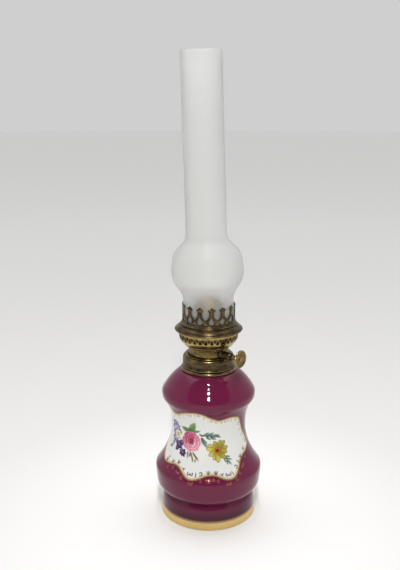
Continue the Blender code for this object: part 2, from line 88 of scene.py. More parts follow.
def addBump(tree, strength, distance, height, under=None):
    links = {"Height": height, "Normal": under} if under else {"Height": height}
    return addNode(tree, "Bump", {"Strength": strength, "Distance": distance}, links).outputs["Normal"]


def addRamp(tree, source, stops):
    # stops: (position, hex colour)
    ramp = addNode(tree, "ValToRGB", None, {"Fac": source})
    elements = ramp.color_ramp.elements
    while len(elements) < len(stops):
        elements.new(0.5)
    for element, (position, colour) in zip(elements, stops):
        element.position = position
        element.color = linearColour(colour)
    return ramp.outputs["Color"]


def startMaterial(name):
    material = bpy.data.materials.new(name)
    material.use_nodes = True
    tree = material.node_tree
    return material, tree, tree.nodes["Principled BSDF"], addNode(tree, "TexCoord").outputs["Object"]


def setShader(tree, shader, links, values):
    for key, source in links.items():
        tree.links.new(source, shader.inputs[key])
    for key, value in values.items():
        shader.inputs[key].default_value = value


def finishMesh(name, vertices, faces, material, body, stands=(), attributes=None, sharpAngle=35):
    # vertices in mm; seams and poles are merged, then faces turned outwards
    mesh = bpy.data.meshes.new(name)
    mesh.from_pydata((np.asarray(vertices) * mm).tolist(), [], [tuple(f) for f in faces])
    for key, values in (attributes or {}).items():
        values = np.asarray(values, dtype=np.float32)
        kind = "FLOAT" if values.ndim == 1 else "FLOAT_COLOR"
        layer = mesh.attributes.new(key, kind, "POINT")
        layer.data.foreach_set("value" if kind == "FLOAT" else "color", values.ravel())
    bm = bmesh.new()
    bm.from_mesh(mesh)
    bmesh.ops.remove_doubles(bm, verts=bm.verts, dist=2e-6)
    bmesh.ops.recalc_face_normals(bm, faces=bm.faces)
    for face in bm.faces:
        face.smooth = True
    bm.to_mesh(mesh)
    bm.free()
    mesh.set_sharp_from_angle(angle=math.radians(sharpAngle))
    piece = bpy.data.objects.new(name, mesh)
    bpy.context.collection.objects.link(piece)
    mesh.materials.append(material)
    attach(piece, body)
    if stands:
        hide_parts(*stands)
    return piece


def gridFaces(rows, columns, closeRows, closeColumns, first=0):
    # quads of a rows x columns grid, joined end to end where asked
    i = np.arange(rows if closeRows else rows - 1)[:, None]
    j = np.arange(columns if closeColumns else columns - 1)[None, :]
    a, b = i * columns + j, i * columns + (j + 1) % columns
    c, d = ((i + 1) % rows) * columns + (j + 1) % columns, ((i + 1) % rows) * columns + j
    return (np.stack([a, b, c, d], -1).reshape(-1, 4) + first).tolist()


def turnProfile(profile, columns, angles=None):
    # each profile point (radius, height) is carried once round the axis
    profile = np.asarray(profile, dtype=float)
    if angles is None:
        angles = np.linspace(0, fullTurn, columns, endpoint=False)
    radius, height = profile[:, :1], profile[:, 1:]
    return np.stack([radius * np.cos(angles), radius * np.sin(angles), height + 0 * angles], -1)


def roundCorners(points, reach, closed=True, steps=3):
    # every corner becomes a short quadratic curve that starts and ends 'reach' away from it
    points = np.asarray(points, dtype=float)
    out = []
    count = len(points)
    for k, point in enumerate(points):
        if not closed and k in (0, count - 1):
            out.append(point)
            continue
        before, after = points[k - 1] - point, points[(k + 1) % count] - point
        sizeBefore, sizeAfter = np.hypot(*before), np.hypot(*after)
        start = point + before / sizeBefore * min(reach, sizeBefore * 0.45)
        end = point + after / sizeAfter * min(reach, sizeAfter * 0.45)
        for t in np.linspace(0, 1, steps + 1):
            out.append((1 - t) ** 2 * start + 2 * t * (1 - t) * point + t ** 2 * end)
    return np.array(out)


def cornerWearAndShade(profile):
    # 1 on outward corners that hands and cloths rub bright, -1 in inward ones that stay dark from tarnish and painted
    # shade
    profile = np.asarray(profile, dtype=float)
    forward = np.roll(profile, -1, 0) - profile
    backward = profile - np.roll(profile, 1, 0)
    turn = backward[:, 0] * forward[:, 1] - backward[:, 1] * forward[:, 0]
    reach = np.hypot(*forward.T) * np.hypot(*backward.T) + 1e-9
    area = np.sum(profile[:, 0] * np.roll(profile[:, 1], -1) - np.roll(profile[:, 0], -1) * profile[:, 1])
    wearAndShade = np.clip(turn / reach * np.sign(area) * 2.5, -1, 1)
    return (np.roll(wearAndShade, 1) + 2 * wearAndShade + np.roll(wearAndShade, -1)) / 3


def turnedPiece(name, profile, material, body, stands=(), columns=128, reach=0.35, extra=None, place=None):
    # closed ring section turned round Z, or round the raiser shaft when place is given
    ring = roundCorners(profile, reach)
    wearAndShade = np.repeat(cornerWearAndShade(ring), columns)
    grid = turnProfile(ring, columns)
    vertices, faces = grid.reshape(-1, 3), gridFaces(len(ring), columns, True, True)
    if extra is not None:
        moreVertices, moreFaces = extra
        faces = faces + (np.array(moreFaces) + len(vertices)).tolist()
        vertices = np.vstack([vertices, moreVertices])
        wearAndShade = np.concatenate([wearAndShade, np.full(len(moreVertices), 0.3)])
    if place is not None:
        vertices = place(vertices)
    return finishMesh(name, vertices, faces, material, body, stands, {"wearAndShade": wearAndShade})


def onShaft(vertices):
    # turns a piece made round Z so that its axis is the raiser shaft, pointing along +X
    x, y, z = vertices.T
    return np.stack([z, y + shaft["y"], shaft["z"] - x], -1)


def threadRidge(inner, outer, baseHeight, crestHeight, low, turns, pitch, crestIn):
    # trapezoid section carried along a helix, its ends drawn together to a point
    wide, slim = baseHeight / 2, crestHeight / 2
    if crestIn:
        section = np.array([(inner, -slim), (outer, -wide), (outer, wide), (inner, slim)])
    else:
        section = np.array([(inner, -wide), (outer, -slim), (outer, slim), (inner, wide)])
    steps = int(96 * turns)
    t = np.linspace(0, turns, steps + 1)
    swell = np.clip(np.minimum(t, turns - t) * 12, 0.0, 1)[:, None]
    middle = section.mean(0)
    radius = middle[0] + (section[:, 0] - middle[0]) * swell
    height = low + t[:, None] * pitch + (section[:, 1] - middle[1]) * swell
    angle = t[:, None] * fullTurn
    grid = np.stack([radius * np.cos(angle), radius * np.sin(angle), height], -1)
    return grid.reshape(-1, 3), gridFaces(len(t), 4, False, True)


# sizes that several pieces share
shaft = {"y": -5.0, "z": 158.1, "knobX": 40.3}
lean = {"degrees": 1.8, "towards": 220.2, "pivotZ": 193.0}
threadPitch = 2.5


# materials
def glazedPorcelain():
    # lead-glazed porcelain: wet gloss, faint ripple, colour fired under the glaze, gilding fired on top
    material, tree, shader, place = startMaterial("glazedPorcelain")
    paint = addNode(tree, "Attribute", {"attribute_name": "paint"}).outputs["Color"]
    gilt = addNode(tree, "Attribute", {"attribute_name": "gilt"}).outputs["Fac"]
    cloud = addRange(tree, addNoise(tree, place, 45.0, 4.0), (0.0, 1.0), (0.90, 1.10))    # 22 mm clouds
    pinholes = addNode(tree, "TexVoronoi", {"Scale": 260.0}, {"Vector": place})    # about 4 mm apart
    speck = addRange(tree, pinholes.outputs["Distance"], (0.03, 0.07), (0.55, 1.0))
    shade = addMaths(tree, "MULTIPLY", cloud, speck)
    tinted = addNode(tree, "VectorMath", {"operation": "SCALE"}, {0: paint, "Scale": shade}).outputs[0]
    rub = addRange(tree, addNoise(tree, place, 900.0, 5.0), (0.36, 0.5), (0.82, 1.0))    # 1 mm rubbing
    giltWorn = addMaths(tree, "MULTIPLY", gilt, rub)
    roughness = addRange(tree, giltWorn, (0.0, 1.0), (0.07, 0.30))
    ripple = addBump(tree, 0.05, 0.0006, addNoise(tree, place, 110.0, 2.0))    # 9 mm ripple
    raised = addBump(tree, 0.25, 0.0002, giltWorn, ripple)
    setShader(tree, shader, {"Base Color": tinted, "Metallic": giltWorn, "Roughness": roughness, "Normal": raised},
              {"IOR": 1.5, "Specular IOR Level": 0.36})
    return material


def agedBrass(name, look):
    # spun brass sheet darkened by age and oil; edges rubbed bright, hollows almost black from tarnish and painted
    # shade, domed middles of pierced strips lighter as painted highlight
    material, tree, shader, place = startMaterial(name)
    wearAndShade = addNode(tree, "Attribute", {"attribute_name": "wearAndShade"}).outputs["Fac"]
    stretch = addNode(tree, "Mapping", {"Scale": (1, 1, 3.0)}, {"Vector": place}).outputs[0]
    patches = addNoise(tree, stretch, 120.0, 6.0, 0.62)    # 8 mm patches of tarnish
    grime = addNoise(tree, place, 700.0, 4.0)    # 1.4 mm grime
    # the tone attribute lifts rubbed corners and lowers hollows (tarnish with painted shade); on pierced strips it is
    # painted highlight and shade
    edge = addMaths(tree, "MULTIPLY_ADD", wearAndShade, 0.42, look["level"])
    blotched = addMaths(tree, "ADD", edge, addRange(tree, patches, (0.3, 0.72), (-0.25, 0.25)))
    tone = addMaths(tree, "ADD", blotched, addRange(tree, grime, (0.3, 0.7), (-0.12, 0.12)), clamp=True)
    colour = addRamp(tree, tone, [(0.0, look["dark"]), (0.45, look["middle"]), (1.0, look["bright"])])
    roughness = addRange(tree, tone, (0.0, 1.0), (look["dull"], look["shine"]))
    bump = addBump(tree, 0.18, 0.0002, grime)
    setShader(tree, shader, {"Base Color": colour, "Roughness": roughness, "Normal": bump}, {"Metallic": 1.0})
    return material


def frostedGlass():
    # blown glass etched in acid: milky, soft, lets shapes close behind it through
    material, tree, shader, place = startMaterial("acidFrostedGlass")
    streak = addNode(tree, "Mapping", {"Scale": (1, 1, 0.15)}, {"Vector": place}).outputs[0]
    cloud = addNoise(tree, streak, 60.0, 4.0)    # upright cloudy streaks
    roughness = addRange(tree, cloud, (0.0, 1.0), (0.34, 0.42))
    colour = addRamp(tree, cloud, [(0.25, "#fbfbf9"), (0.75, "#ffffff")])
    tooth = addBump(tree, 0.12, 0.0001, addNoise(tree, place, 2500.0, 3.0))    # 0.4 mm tooth
    setShader(tree, shader, {"Base Color": colour, "Roughness": roughness, "Normal": tooth},
              {"Transmission Weight": 0.86, "IOR": 1.3})
    return material


def plainGrain(name, look):
    # dull natural stuff (plaster, leather, cotton) with one grain, sized in mm and drawn out along Z by stretch
    material, tree, shader, place = startMaterial(name)
    stretch = addNode(tree, "Mapping", {"Scale": look["stretch"]}, {"Vector": place}).outputs[0]
    grain = addNoise(tree, stretch, 1000.0 / look["grainSize"], 5.0)
    colour = addRamp(tree, grain, [(0.3, look["dark"]), (0.7, look["light"])])
    bump = addBump(tree, 0.5, 0.0003, grain)
    setShader(tree, shader, {"Base Color": colour, "Normal": bump}, {"Roughness": look["roughness"]})
    return material


porcelainLook = glazedPorcelain()
brassLook, brightBrassLook, crownBrassLook, rubbedBrassLook = (
    agedBrass(name, dict(zip(("level", "dark", "middle", "bright", "dull", "shine"), values))) for name, *values in (
        ("agedBrass", 0.40, "#1a1510", "#574833", "#a38d5e", 0.40, 0.20),
        ("brightBrass", 0.62, "#4a3c22", "#7d683c", "#ac945c", 0.34, 0.22),
        ("crownBrass", 0.30, "#1c1711", "#463927", "#94805a", 0.38, 0.22),
        ("rubbedBrass", 0.50, "#33291a", "#7a673f", "#b9a268", 0.36, 0.20)))
glassLook = frostedGlass()
plasterLook, leatherLook, cottonLook = (
    plainGrain(name, dict(zip(("stretch", "grainSize", "dark", "light", "roughness"), values))) for name, *values in (
        ("settingPlaster", (1, 1, 1), 1.5, "#a59c8c", "#d9d2c4", 0.9),
        ("oiledLeather", (1, 1, 1), 1.2, "#1d140e", "#4a3626", 0.6),
        ("wovenCotton", (1, 1, 0.25), 0.9, "#b9b09a", "#efe9da", 0.95)))
print("materials ready")


# porcelain body with its painting
bodyShape = {"footRadius": 44.1, "footTop": (43.0, 13.0), "groove": (38.7, 23.2), "bellyLow": (48.3, 35.0),
             "belly": (49.1, 47.0), "waist": (34.2, 87.0), "ledge": (42.45, 114.3), "neckLow": 138.8,
             "neckTop": 139.4, "wall": 4.0, "bore": 22.6, "floor": 7.0, "under": 2.5, "giltTop": 6.9,
             "shoulder": [(42.75, 120.5), (40.5, 124.0), (38.3, 127.3), (35.5, 130.9), (32.5, 134.1), (30.0, 136.4),
                          (27.7, 138.2), (25.8, 139.3)]}
# spacing in mm inside and outside the painted panel's heights; columns in front, between two angles, and behind
bodyGrid = {"fine": 0.42, "coarse": 2.4, "panel": (47, 112), "sides": (-92, 84), "columns": (300, 58)}


def powerCurve(start, end, power, count):
    # radius runs from start to end with a power of the height
    t = np.linspace(0, 1, count + 1)
    return np.stack([start[0] + (end[0] - start[0]) * t ** power, start[1] + (end[1] - start[1]) * t], -1)


def quarterCurve(start, end, count, flatFirst):
    # quarter ellipse; flatFirst leaves the start along the radius
    a = np.linspace(0, math.pi / 2, count + 1)
    radial, upward = (np.sin(a), 1 - np.cos(a)) if flatFirst else (1 - np.cos(a), np.sin(a))
    return np.stack([start[0] + (end[0] - start[0]) * radial, start[1] + (end[1] - start[1]) * upward], -1)


def smoothLine(points, perSpan, closed=False):
    # Catmull-Rom curve through the points
    p = np.asarray(points, dtype=float)
    ends = (p[-1:], p[:2]) if closed else (2 * p[:1] - p[1:2], 2 * p[-1:] - p[-2:-1])
    p = np.vstack([ends[0], p, ends[1]])
    t = np.linspace(0, 1, perSpan, endpoint=False)[:, None, None]
    a, b, c, d = p[:-3], p[1:-2], p[2:-1], p[3:]
    curve = 0.5 * (2 * b + (c - a) * t + (2 * a - 5 * b + 4 * c - d) * t ** 2 + (3 * b - a - 3 * c + d) * t ** 3)
    curve = curve.transpose(1, 0, 2).reshape(-1, 2)
    return curve if closed else np.vstack([curve, p[-2:-1]])


def bodyOutline():
    s = bodyShape
    corners = np.vstack([
        [(s["footRadius"] - 0.9, 0.0), (s["footRadius"], 1.0), (s["footTop"][0] + 0.3, 6.5)],
        quarterCurve(s["footTop"], s["groove"], 8, False),
        quarterCurve((s["groove"][0], s["groove"][1] + 0.8), s["bellyLow"], 8, True),
        [(s["belly"][0], s["belly"][1] - 3.5), s["belly"]],
        powerCurve(s["waist"], (s["belly"][0] - 0.6, s["belly"][1] + 1.5), 2.05, 20)[::-1],
        powerCurve(s["waist"], s["ledge"], 2.6, 14)[1:],
        smoothLine(s["shoulder"], 5)])
    corners[:, 0] -= 0.05
    return roundCorners(corners, 0.55, closed=False)


def resample(line, spacing):
    # equal steps along a line, each no longer than spacing
    along = np.r_[0, np.cumsum(np.hypot(*np.diff(line, axis=0).T))]
    steps = np.linspace(0, along[-1], int(math.ceil(along[-1] / spacing)) + 1)
    return np.stack([np.interp(steps, along, line[:, k]) for k in range(2)], -1)


# the painted cartouche: (angle from the facing side in degrees, height in mm), listed round the white reserve
# foot is the darker glaze colour laid towards the foot as painted shade
cartouche = {"outline": [(-24, 110.9), (-15.4, 111.3), (-7.6, 110), (0.4, 106.7), (7.3, 104.5), (14.6, 102.9),
    (22, 103.5), (31.4, 104.4), (43.4, 102.8), (50, 99.8), (56, 93.4), (62.2, 85.8), (71.5, 77.5), (74, 71),
    (64, 67.4), (53.8, 65.4), (45.6, 62.3), (40.5, 58.2), (35.5, 54.4), (31.1, 51.8), (25.8, 50.6), (20.7, 50.8),
    (16.5, 51.7), (12.5, 53.1), (8.4, 54.3), (4.2, 54.8), (-0.8, 54.7), (-5, 53.9), (-9.8, 52.4), (-15.1, 51.1),
    (-20.6, 50.4), (-25.3, 51.1), (-30.3, 53.3), (-35.1, 55.8), (-40.3, 57.8), (-47.2, 58.3), (-55, 57.2),
    (-64, 56.6), (-74, 58), (-86, 66), (-92, 78), (-89, 93), (-81, 104), (-72, 109.5), (-66, 108.4), (-61, 105.2),
    (-52.5, 104.2), (-44, 105.8), (-36.3, 108.2)], "white": "#e3e3df", "glaze": "#66173a", "foot": "#360a1b",
    "gold": "#d8bc7c", "line": "#b3905a", "ink": "#4f4026"}
# ornaments inside the reserve: kind, angle, height, turn in degrees
ornaments = [("fan", -62.9, 58.6, 90), ("dot", -60.7, 61.2, 0), ("fan", -50.9, 60.0, 80), ("fan", -40.9, 61.2, 60),
    ("dot", -31.6, 57.2, 0), ("curlTwice", -22.3, 54.6, -90), ("stroke", -15.3, 54.2, 80), ("curl", -9.8, 55.8, 100),
    ("fan", -0.6, 56.8, 90), ("fan", 8.4, 56.6, 90), ("dot", 15.6, 54.8, 0), ("curlTwice", 23.3, 54.2, -90),
    ("stroke", 29.2, 54.2, 100), ("curl", 35.2, 58.6, 120), ("stroke", 41.2, 61.5, 120), ("fan", 47.2, 65.0, 120),
    ("fan", 57.5, 69.6, 130), ("curl", 68.5, 73.6, 170)]
paleOrnaments = [("curl", -46.1, 102.3, -90), ("stroke", -38.0, 104.6, -80), ("curlTwice", -27.3, 107.4, -90),
    ("stroke", -19.4, 108.6, -90), ("fan", -14.0, 108.4, -90), ("stroke", -6.8, 106.8, -100),
    ("fan", 3.2, 103.0, -100), ("curl", 11.2, 101.4, -90), ("dot", 18.2, 100.6, 0), ("curlTwice", 26.0, 101.4, -90),
    ("stroke", 33.4, 101.6, -90), ("fan", 42.0, 99.8, -100), ("curl", 49.4, 94.6, -140), ("stroke", 54.4, 88.6, -150),
    ("curl", 60.0, 81.6, -160), ("stroke", 66.0, 77.6, -170), ("curl", -56.5, 102.6, -90)]
glazeScrolls = [("curl", -56.0, 53.6, -90), ("curl", -47.1, 55.2, -90), ("curlTwice", -38.6, 53.4, -110),
    ("curl", -31.6, 50.4, -90), ("curlTwice", -20.0, 48.2, -90), ("curl", -8.4, 50.4, -90),
    ("curlTwice", -1.2, 51.4, -90), ("fan", 5.2, 51.4, -90), ("curl", 10.8, 50.2, -90),
    ("curlTwice", 21.6, 47.8, -90), ("curl", 32.4, 49.4, -70), ("curl", 38.6, 53.0, -60),
    ("curlTwice", 46.0, 57.4, -60), ("curl", 56.0, 62.6, -60)]
# leaves by their colours from root to tip, with the colour of the vein or None
leafTones = {"grey": ("#3c5246", "#93a996"), "sage": ("#3f5a3a", "#a3b184"), "olive": ("#4e5a34", "#9aa069"),
             "rust": ("#6a3a26", "#a8824c"), "brown": ("#5a3a26", "#a58a4e"), "green": ("#3f6a34", "#86ad6a"),
             "fresh": ("#35602e", "#7ea562"), "pale": ("#4a7040", "#8fb078"), "deep": ("#2c4c28", "#5f8a4a"),
             "blue": ("#3c5a48", "#8fa892")}
# (angle, height), length, half width, turn, tone, vein
roseLeaves = [((-29.0, 90.0), 11.6, 3.0, 63, "green", "#2c4c28"), ((-29.5, 90.5), 9.4, 2.3, 165, "fresh", "#2c4c28"),
              ((-25.0, 91.0), 7.6, 1.4, 8, "pale", "#2c4c28"), ((-28.0, 90.0), 5.0, 1.5, 110, "deep", None),
              ((-31, 72.5), 7.4, 0.85, -86, "sage", None), ((-27, 72.5), 9.6, 0.9, -66, "olive", None),
              ((-24, 72.5), 10.5, 0.85, -50, "rust", None), ((-27, 71.5), 5.0, 0.7, -98, "rust", None),
              ((-20, 69.0), 4.2, 0.6, -24, "brown", None), ((-23, 67.5), 4.4, 0.6, -80, "brown", None),
              ((-18.5, 67.0), 4.0, 0.6, -88, "olive", None)]
twistedLeaves = [((-8.5, 87.4), 6.6, 1.2, 40, "grey", "#33483c"), ((-4.5, 87.4), 8.2, 1.5, 28, "grey", "#33483c"),
                 ((1.5, 87.4), 9.2, 1.7, 8, "grey", "#33483c"), ((2.0, 86.9), 6.0, 1.3, -22, "grey", "#33483c"),
                 ((-4.0, 87.2), 5.4, 1.2, -34, "grey", "#33483c"), ((-9.5, 87.2), 4.0, 1.0, 140, "grey", "#33483c"),
                 ((10.5, 87.8), 5.2, 1.0, -18, "grey", "#33483c"), ((-11.5, 86.5), 11.8, 1.9, -60, "blue", "#2f463a"),
                 ((-10.5, 85.0), 6.5, 1.1, -38, "grey", "#33483c")]
daisyLeaves = [((22, 69.0), 6.4, 0.85, -14, "grey", "#33483c"), ((24, 67.0), 6.2, 0.85, -22, "grey", "#33483c"),
               ((21.5, 68.5), 5.6, 0.85, -82, "grey", "#33483c"), ((24.5, 66.0), 5.2, 0.8, -84, "grey", "#33483c"),
               ((26, 65.2), 5.8, 0.9, -58, "grey", "#33483c"), ((20, 70.0), 5.0, 1.0, -40, "grey", "#33483c")]
violets = [((-48.4, 75.0), 4.6, 20), ((-43.5, 77.6), 3.0, 50), ((-51.5, 71.6), 2.6, 80), ((-39.3, 69.6), 3.9, 5)]


def lineDistance(points, line, closed=False):
    # distance from each point to a line of short straight spans
    start = np.asarray(line, dtype=float)
    end = np.roll(start, -1, 0)
    if not closed:
        start, end = start[:-1], end[:-1]
    best = np.full(len(points), 1e9)
    for a, b in zip(start, end):
        span = b - a
        t = np.clip(((points - a) @ span) / (span @ span + 1e-12), 0, 1)
        best = np.minimum(best, np.hypot(*(points - a - t[:, None] * span).T))
    return best


def insideLoop(points, loop):
    # even-odd rule
    inside = np.zeros(len(points), dtype=bool)
    x, y = points.T
    for (x0, y0), (x1, y1) in zip(loop, np.roll(loop, -1, 0)):
        crosses = (y0 > y) != (y1 > y)
        inside ^= crosses & (x < (x1 - x0) * (y - y0) / (y1 - y0 + 1e-12) + x0)
    return inside


class Painting:
    # colours laid on the grid points; every brush works in mm round its own spot on the curved wall
    def __init__(self, angle, along, radiusAt, alongAt, ground):
        self.angle, self.along, self.radiusAt, self.alongAt = angle, along, radiusAt, alongAt
        self.colour = np.tile(np.array(linearColour(ground)), (len(angle), 1))
        self.gilt = np.zeros(len(angle))

    def local(self, spot, reach):
        # points near a spot (degrees, height), as mm to the right and up the wall
        right = np.radians(self.angle - spot[0]) * self.radiusAt(spot[1])
        up = self.along - self.alongAt(spot[1])
        near = np.nonzero((np.abs(right) < reach) & (np.abs(up) < reach))[0]
        return near, right[near], up[near]

    def lay(self, near, cover, colour, gilt=None):
        # cover 0..1 mixes the colour over what is there
        cover = np.clip(cover, 0, 1)[:, None]
        colour = np.broadcast_to(np.asarray(colour), (len(near), 4))
        self.colour[near] = self.colour[near] * (1 - cover) + colour * cover
        if gilt is not None:
            self.gilt[near] = self.gilt[near] * (1 - cover[:, 0]) + gilt * cover[:, 0]

    def leaf(self, spot, length, width, turn, colours, blunt=0.75, vein=None, offset=(0, 0)):
        # leaf or petal from a spot: half width is width * sin(pi t) ** blunt along its length
        near, right, up = self.local(spot, abs(length) + np.hypot(*offset) + 2)
        c, s = math.cos(math.radians(turn)), math.sin(math.radians(turn))
        x, y = right - offset[0], up - offset[1]
        t, side = (x * c + y * s) / length, -x * s + y * c
        inside = np.clip(t, 0, 1)
        half = width * np.sin(math.pi * inside ** 0.85) ** blunt
        cover = np.clip((half - np.abs(side)) / 0.22 + 0.5, 0, 1) * ((t > -0.02) & (t < 1.02))
        base, tip = (np.array(linearColour(h)) for h in colours[:2])
        mix = np.clip(inside + 0.25 * side / (width + 1e-6), 0, 1)[:, None]
        shade = base * (1 - mix) + tip * mix
        self.lay(near, cover, shade)
        if vein:
            self.lay(near, cover * np.clip(1.2 - np.abs(side) / 0.22, 0, 1) * 0.8, linearColour(vein))

    def stroke(self, spot, line, width, colour, gilt=None, strength=1.0):
        # brush stroke along a line of (right, up) points
        line = np.asarray(line, dtype=float)
        near, right, up = self.local(spot, np.abs(line).max() + 2)
        distance = lineDistance(np.stack([right, up], -1), line)
        self.lay(near, np.clip((width / 2 - distance) / 0.2 + 0.5, 0, 1) * strength, linearColour(colour), gilt)

    def dab(self, spot, offset, size, colour, gilt=None):
        near, right, up = self.local(spot, size * 2 + np.hypot(*offset) + 1)
        distance = np.hypot(right - offset[0], up - offset[1])
        self.lay(near, np.clip((size - distance) / 0.25 + 0.5, 0, 1), linearColour(colour), gilt)


def curl(centre, size, start, sweep, count=10):
    # arc that winds in like a scroll
    a = np.radians(start + np.linspace(0, sweep, count))
    r = size * np.linspace(1, 0.55, count)
    return np.stack([centre[0] + r * np.cos(a), centre[1] + r * np.sin(a)], -1)


def layOrnaments(p, marks, ink, gilt, size, width, strength):
    # small scroll motifs, each drawn in its own turned frame
    for kind, angle, height, turn in marks:
        c, s = math.cos(math.radians(turn)), math.sin(math.radians(turn))
        aim = lambda line: np.stack([line[:, 0] * c - line[:, 1] * s, line[:, 0] * s + line[:, 1] * c], -1) * size
        spot = (angle, height)
        if kind == "dot":
            p.dab(spot, (0, 0), 0.62 * size, ink, gilt)
            for a in (0.6, 2.7, 4.8):
                p.dab(spot, (1.15 * size * math.cos(a), 1.15 * size * math.sin(a)), 0.26 * size, ink, gilt)
        elif kind == "stroke":
            p.stroke(spot, aim(np.array([(-0.9, 0.1), (0.0, -0.1), (0.9, 0.2)])), width, ink, gilt, strength)
            p.dab(spot, tuple(aim(np.array([(1.5, 0.5)]))[0]), 0.32 * size, ink, gilt)
        elif kind == "fan":
            for tip in (-1.2, 0.0, 1.2):
                line = np.array([(-1.0, tip * 0.25), (0.1, tip * 0.7), (1.1 - 0.2 * abs(tip), tip)])
                p.stroke(spot, aim(line), width * 0.75, ink, gilt, strength)
        elif kind == "curl":
            p.stroke(spot, aim(curl((0, 0), 1.3, 150, 262, 16)), width, ink, gilt, strength)
        else:
            p.stroke(spot, aim(curl((0, 0.95), 1.0, 150, -255, 14)), width, ink, gilt, strength)
            p.stroke(spot, aim(curl((0, -0.95), 1.0, 210, 255, 14)), width, ink, gilt, strength)
            p.dab(spot, tuple(aim(np.array([(-0.9, 1.5)]))[0]), 0.34 * size, ink, gilt)


def paintRose(p, spot, size):
    # loose outer petals with ragged rims, then cupped rows, darkest in the heart; light falls from the lower right
    petals = [(0.66, 178, 0.50), (0.70, -135, 0.46), (0.74, -95, 0.44), (0.74, -50, 0.46), (0.72, -8, 0.44),
        (0.66, 30, 0.46), (0.64, 75, 0.50), (0.66, 125, 0.52), (0.46, -165, 0.46), (0.46, -110, 0.44),
        (0.50, -62, 0.42), (0.50, -15, 0.42), (0.42, 40, 0.44), (0.42, 100, 0.46), (0.42, 150, 0.44),
        (0.24, -120, 0.36), (0.26, -50, 0.34), (0.22, 20, 0.34), (0.22, 110, 0.36), (0.20, 180, 0.32)]
    for k, (reach, turn, wide) in enumerate(petals):
        a = math.radians(turn)
        centre = (size * reach * math.cos(a), size * reach * math.sin(a))
        near, right, up = p.local(spot, size * 2)
        x, y = right - centre[0], up - centre[1]
        ragged = 1 + 0.07 * np.sin(5 * np.arctan2(y, x) + k * 1.7)
        distance = np.hypot(x, y) / (size * wide * ragged)
        outward = (x * math.cos(a) + y * math.sin(a)) / (size * wide)
        rim = np.clip(0.45 + 0.6 * outward, 0, 1)[:, None] ** 1.3
        light = 0.5 + 0.5 * math.cos(a - math.radians(-50))
        deep = np.array(linearColour("#a32f56")) * (0.80 + 0.35 * light)
        pale = np.array(linearColour("#e8a3b4")) * light + np.array(linearColour("#bd4a70")) * (1 - light)
        deep[3] = pale[3] = 1
        p.lay(near, np.clip((1 - distance) * size * wide / 0.25 + 0.5, 0, 1), deep * (1 - rim) + pale * rim)
        edge = np.clip(1 - np.abs(distance - 0.92) * size * wide / 0.28, 0, 1) * np.clip(outward * 2, 0, 1)
        p.lay(near, edge * (0.25 + 0.55 * light), linearColour("#f9e3e6"))
        crease = np.clip(1 - np.abs(distance - 1.02) * size * wide / 0.22, 0, 1) * np.clip(-outward * 2, 0, 1)
        p.lay(near, crease * 0.55, linearColour("#7c1838"))
    p.stroke(spot, curl((0.2, 0.5), size * 0.24, 20, 320), 0.45, "#6a102c")
    p.stroke(spot, curl((0.3, 0.5), size * 0.44, 150, 170), 0.40, "#7c1838", None, 0.8)
    p.stroke(spot, curl((0.2, 0.2), size * 0.64, 60, 110), 0.35, "#8c2348", None, 0.7)
    p.stroke(spot, curl((0.6, -0.6), size * 0.50, -80, 90), 0.5, "#fbeef0", None, 0.7)


def paintDaisy(p, spot, size):
    for k in range(11):
        turn = 360 / 11 * k + 12 + 6 * math.sin(k * 2.1)
        length = size * (0.95 + 0.10 * math.sin(k * 1.7))
        a = math.radians(turn)
        start = (size * 0.16 * math.cos(a), size * 0.16 * math.sin(a))
        p.leaf(spot, length * 0.92, size * 0.25, turn, ("#6b6420", "#6f6a28"), 0.42, None, start)
        lit = ("#a8922a", "#ddd067") if k in (4, 5, 6, 7, 8) else ("#8a7c24", "#b9ad3e")
        p.leaf(spot, length * 0.86, size * 0.20, turn, lit, 0.42, "#8f8430", start)
    p.dab(spot, (0, 0), size * 0.30, "#8a4a16")
    p.dab(spot, (0.2, 0.2), size * 0.20, "#b4641c")
    p.dab(spot, (-0.3, -0.1), size * 0.13, "#5a1a12")
    for k in range(9):
        a = fullTurn * k / 9
        p.dab(spot, (size * 0.27 * math.cos(a), size * 0.27 * math.sin(a)), 0.35, "#d49a2a")


def paintViolet(p, spot, size, turn):
    # dense dark bloom: two rows of petals and a pinkish light on the upper ones
    for k in range(7):
        length = size * (1.0 + 0.12 * math.sin(k * 2.3))
        p.leaf(spot, length, size * 0.34, turn + 51 * k, ("#210b33", "#47256b"), 0.5)
    for k in range(5):
        tone = ("#30113f", "#7d4486" if k % 2 else "#50327c")
        p.leaf(spot, size * 0.66, size * 0.24, turn + 20 + 72 * k, tone, 0.5)
    p.dab(spot, (0.1, 0.1), size * 0.13, "#d8b15c")
    p.dab(spot, (-size * 0.35, size * 0.3), size * 0.12, "#b88cc0")


def paintFrond(p, spot, turn, length, pairs, colours):
    # leaflets set along a stem, longest in the middle
    a = math.radians(turn)
    tip = (length * math.cos(a), length * math.sin(a))
    p.stroke(spot, [(0, 0), tip], 0.5, colours[0])
    for k in range(pairs):
        t = (k + 0.6) / pairs
        root = (tip[0] * t, tip[1] * t)
        size = length * (0.50 - 0.26 * t)
        for side in (-1, 1):
            p.leaf(spot, size, size * 0.17, turn + side * (38 - 14 * t), colours, 0.8, None, root)
    p.leaf(spot, length * 0.36, length * 0.06, turn, colours, 0.8, None, (tip[0] * 0.8, tip[1] * 0.8))


def layLeaves(p, rows):
    for spot, length, width, turn, tone, vein in rows:
        p.leaf(spot, length, width, turn, leafTones[tone], 0.8, vein)


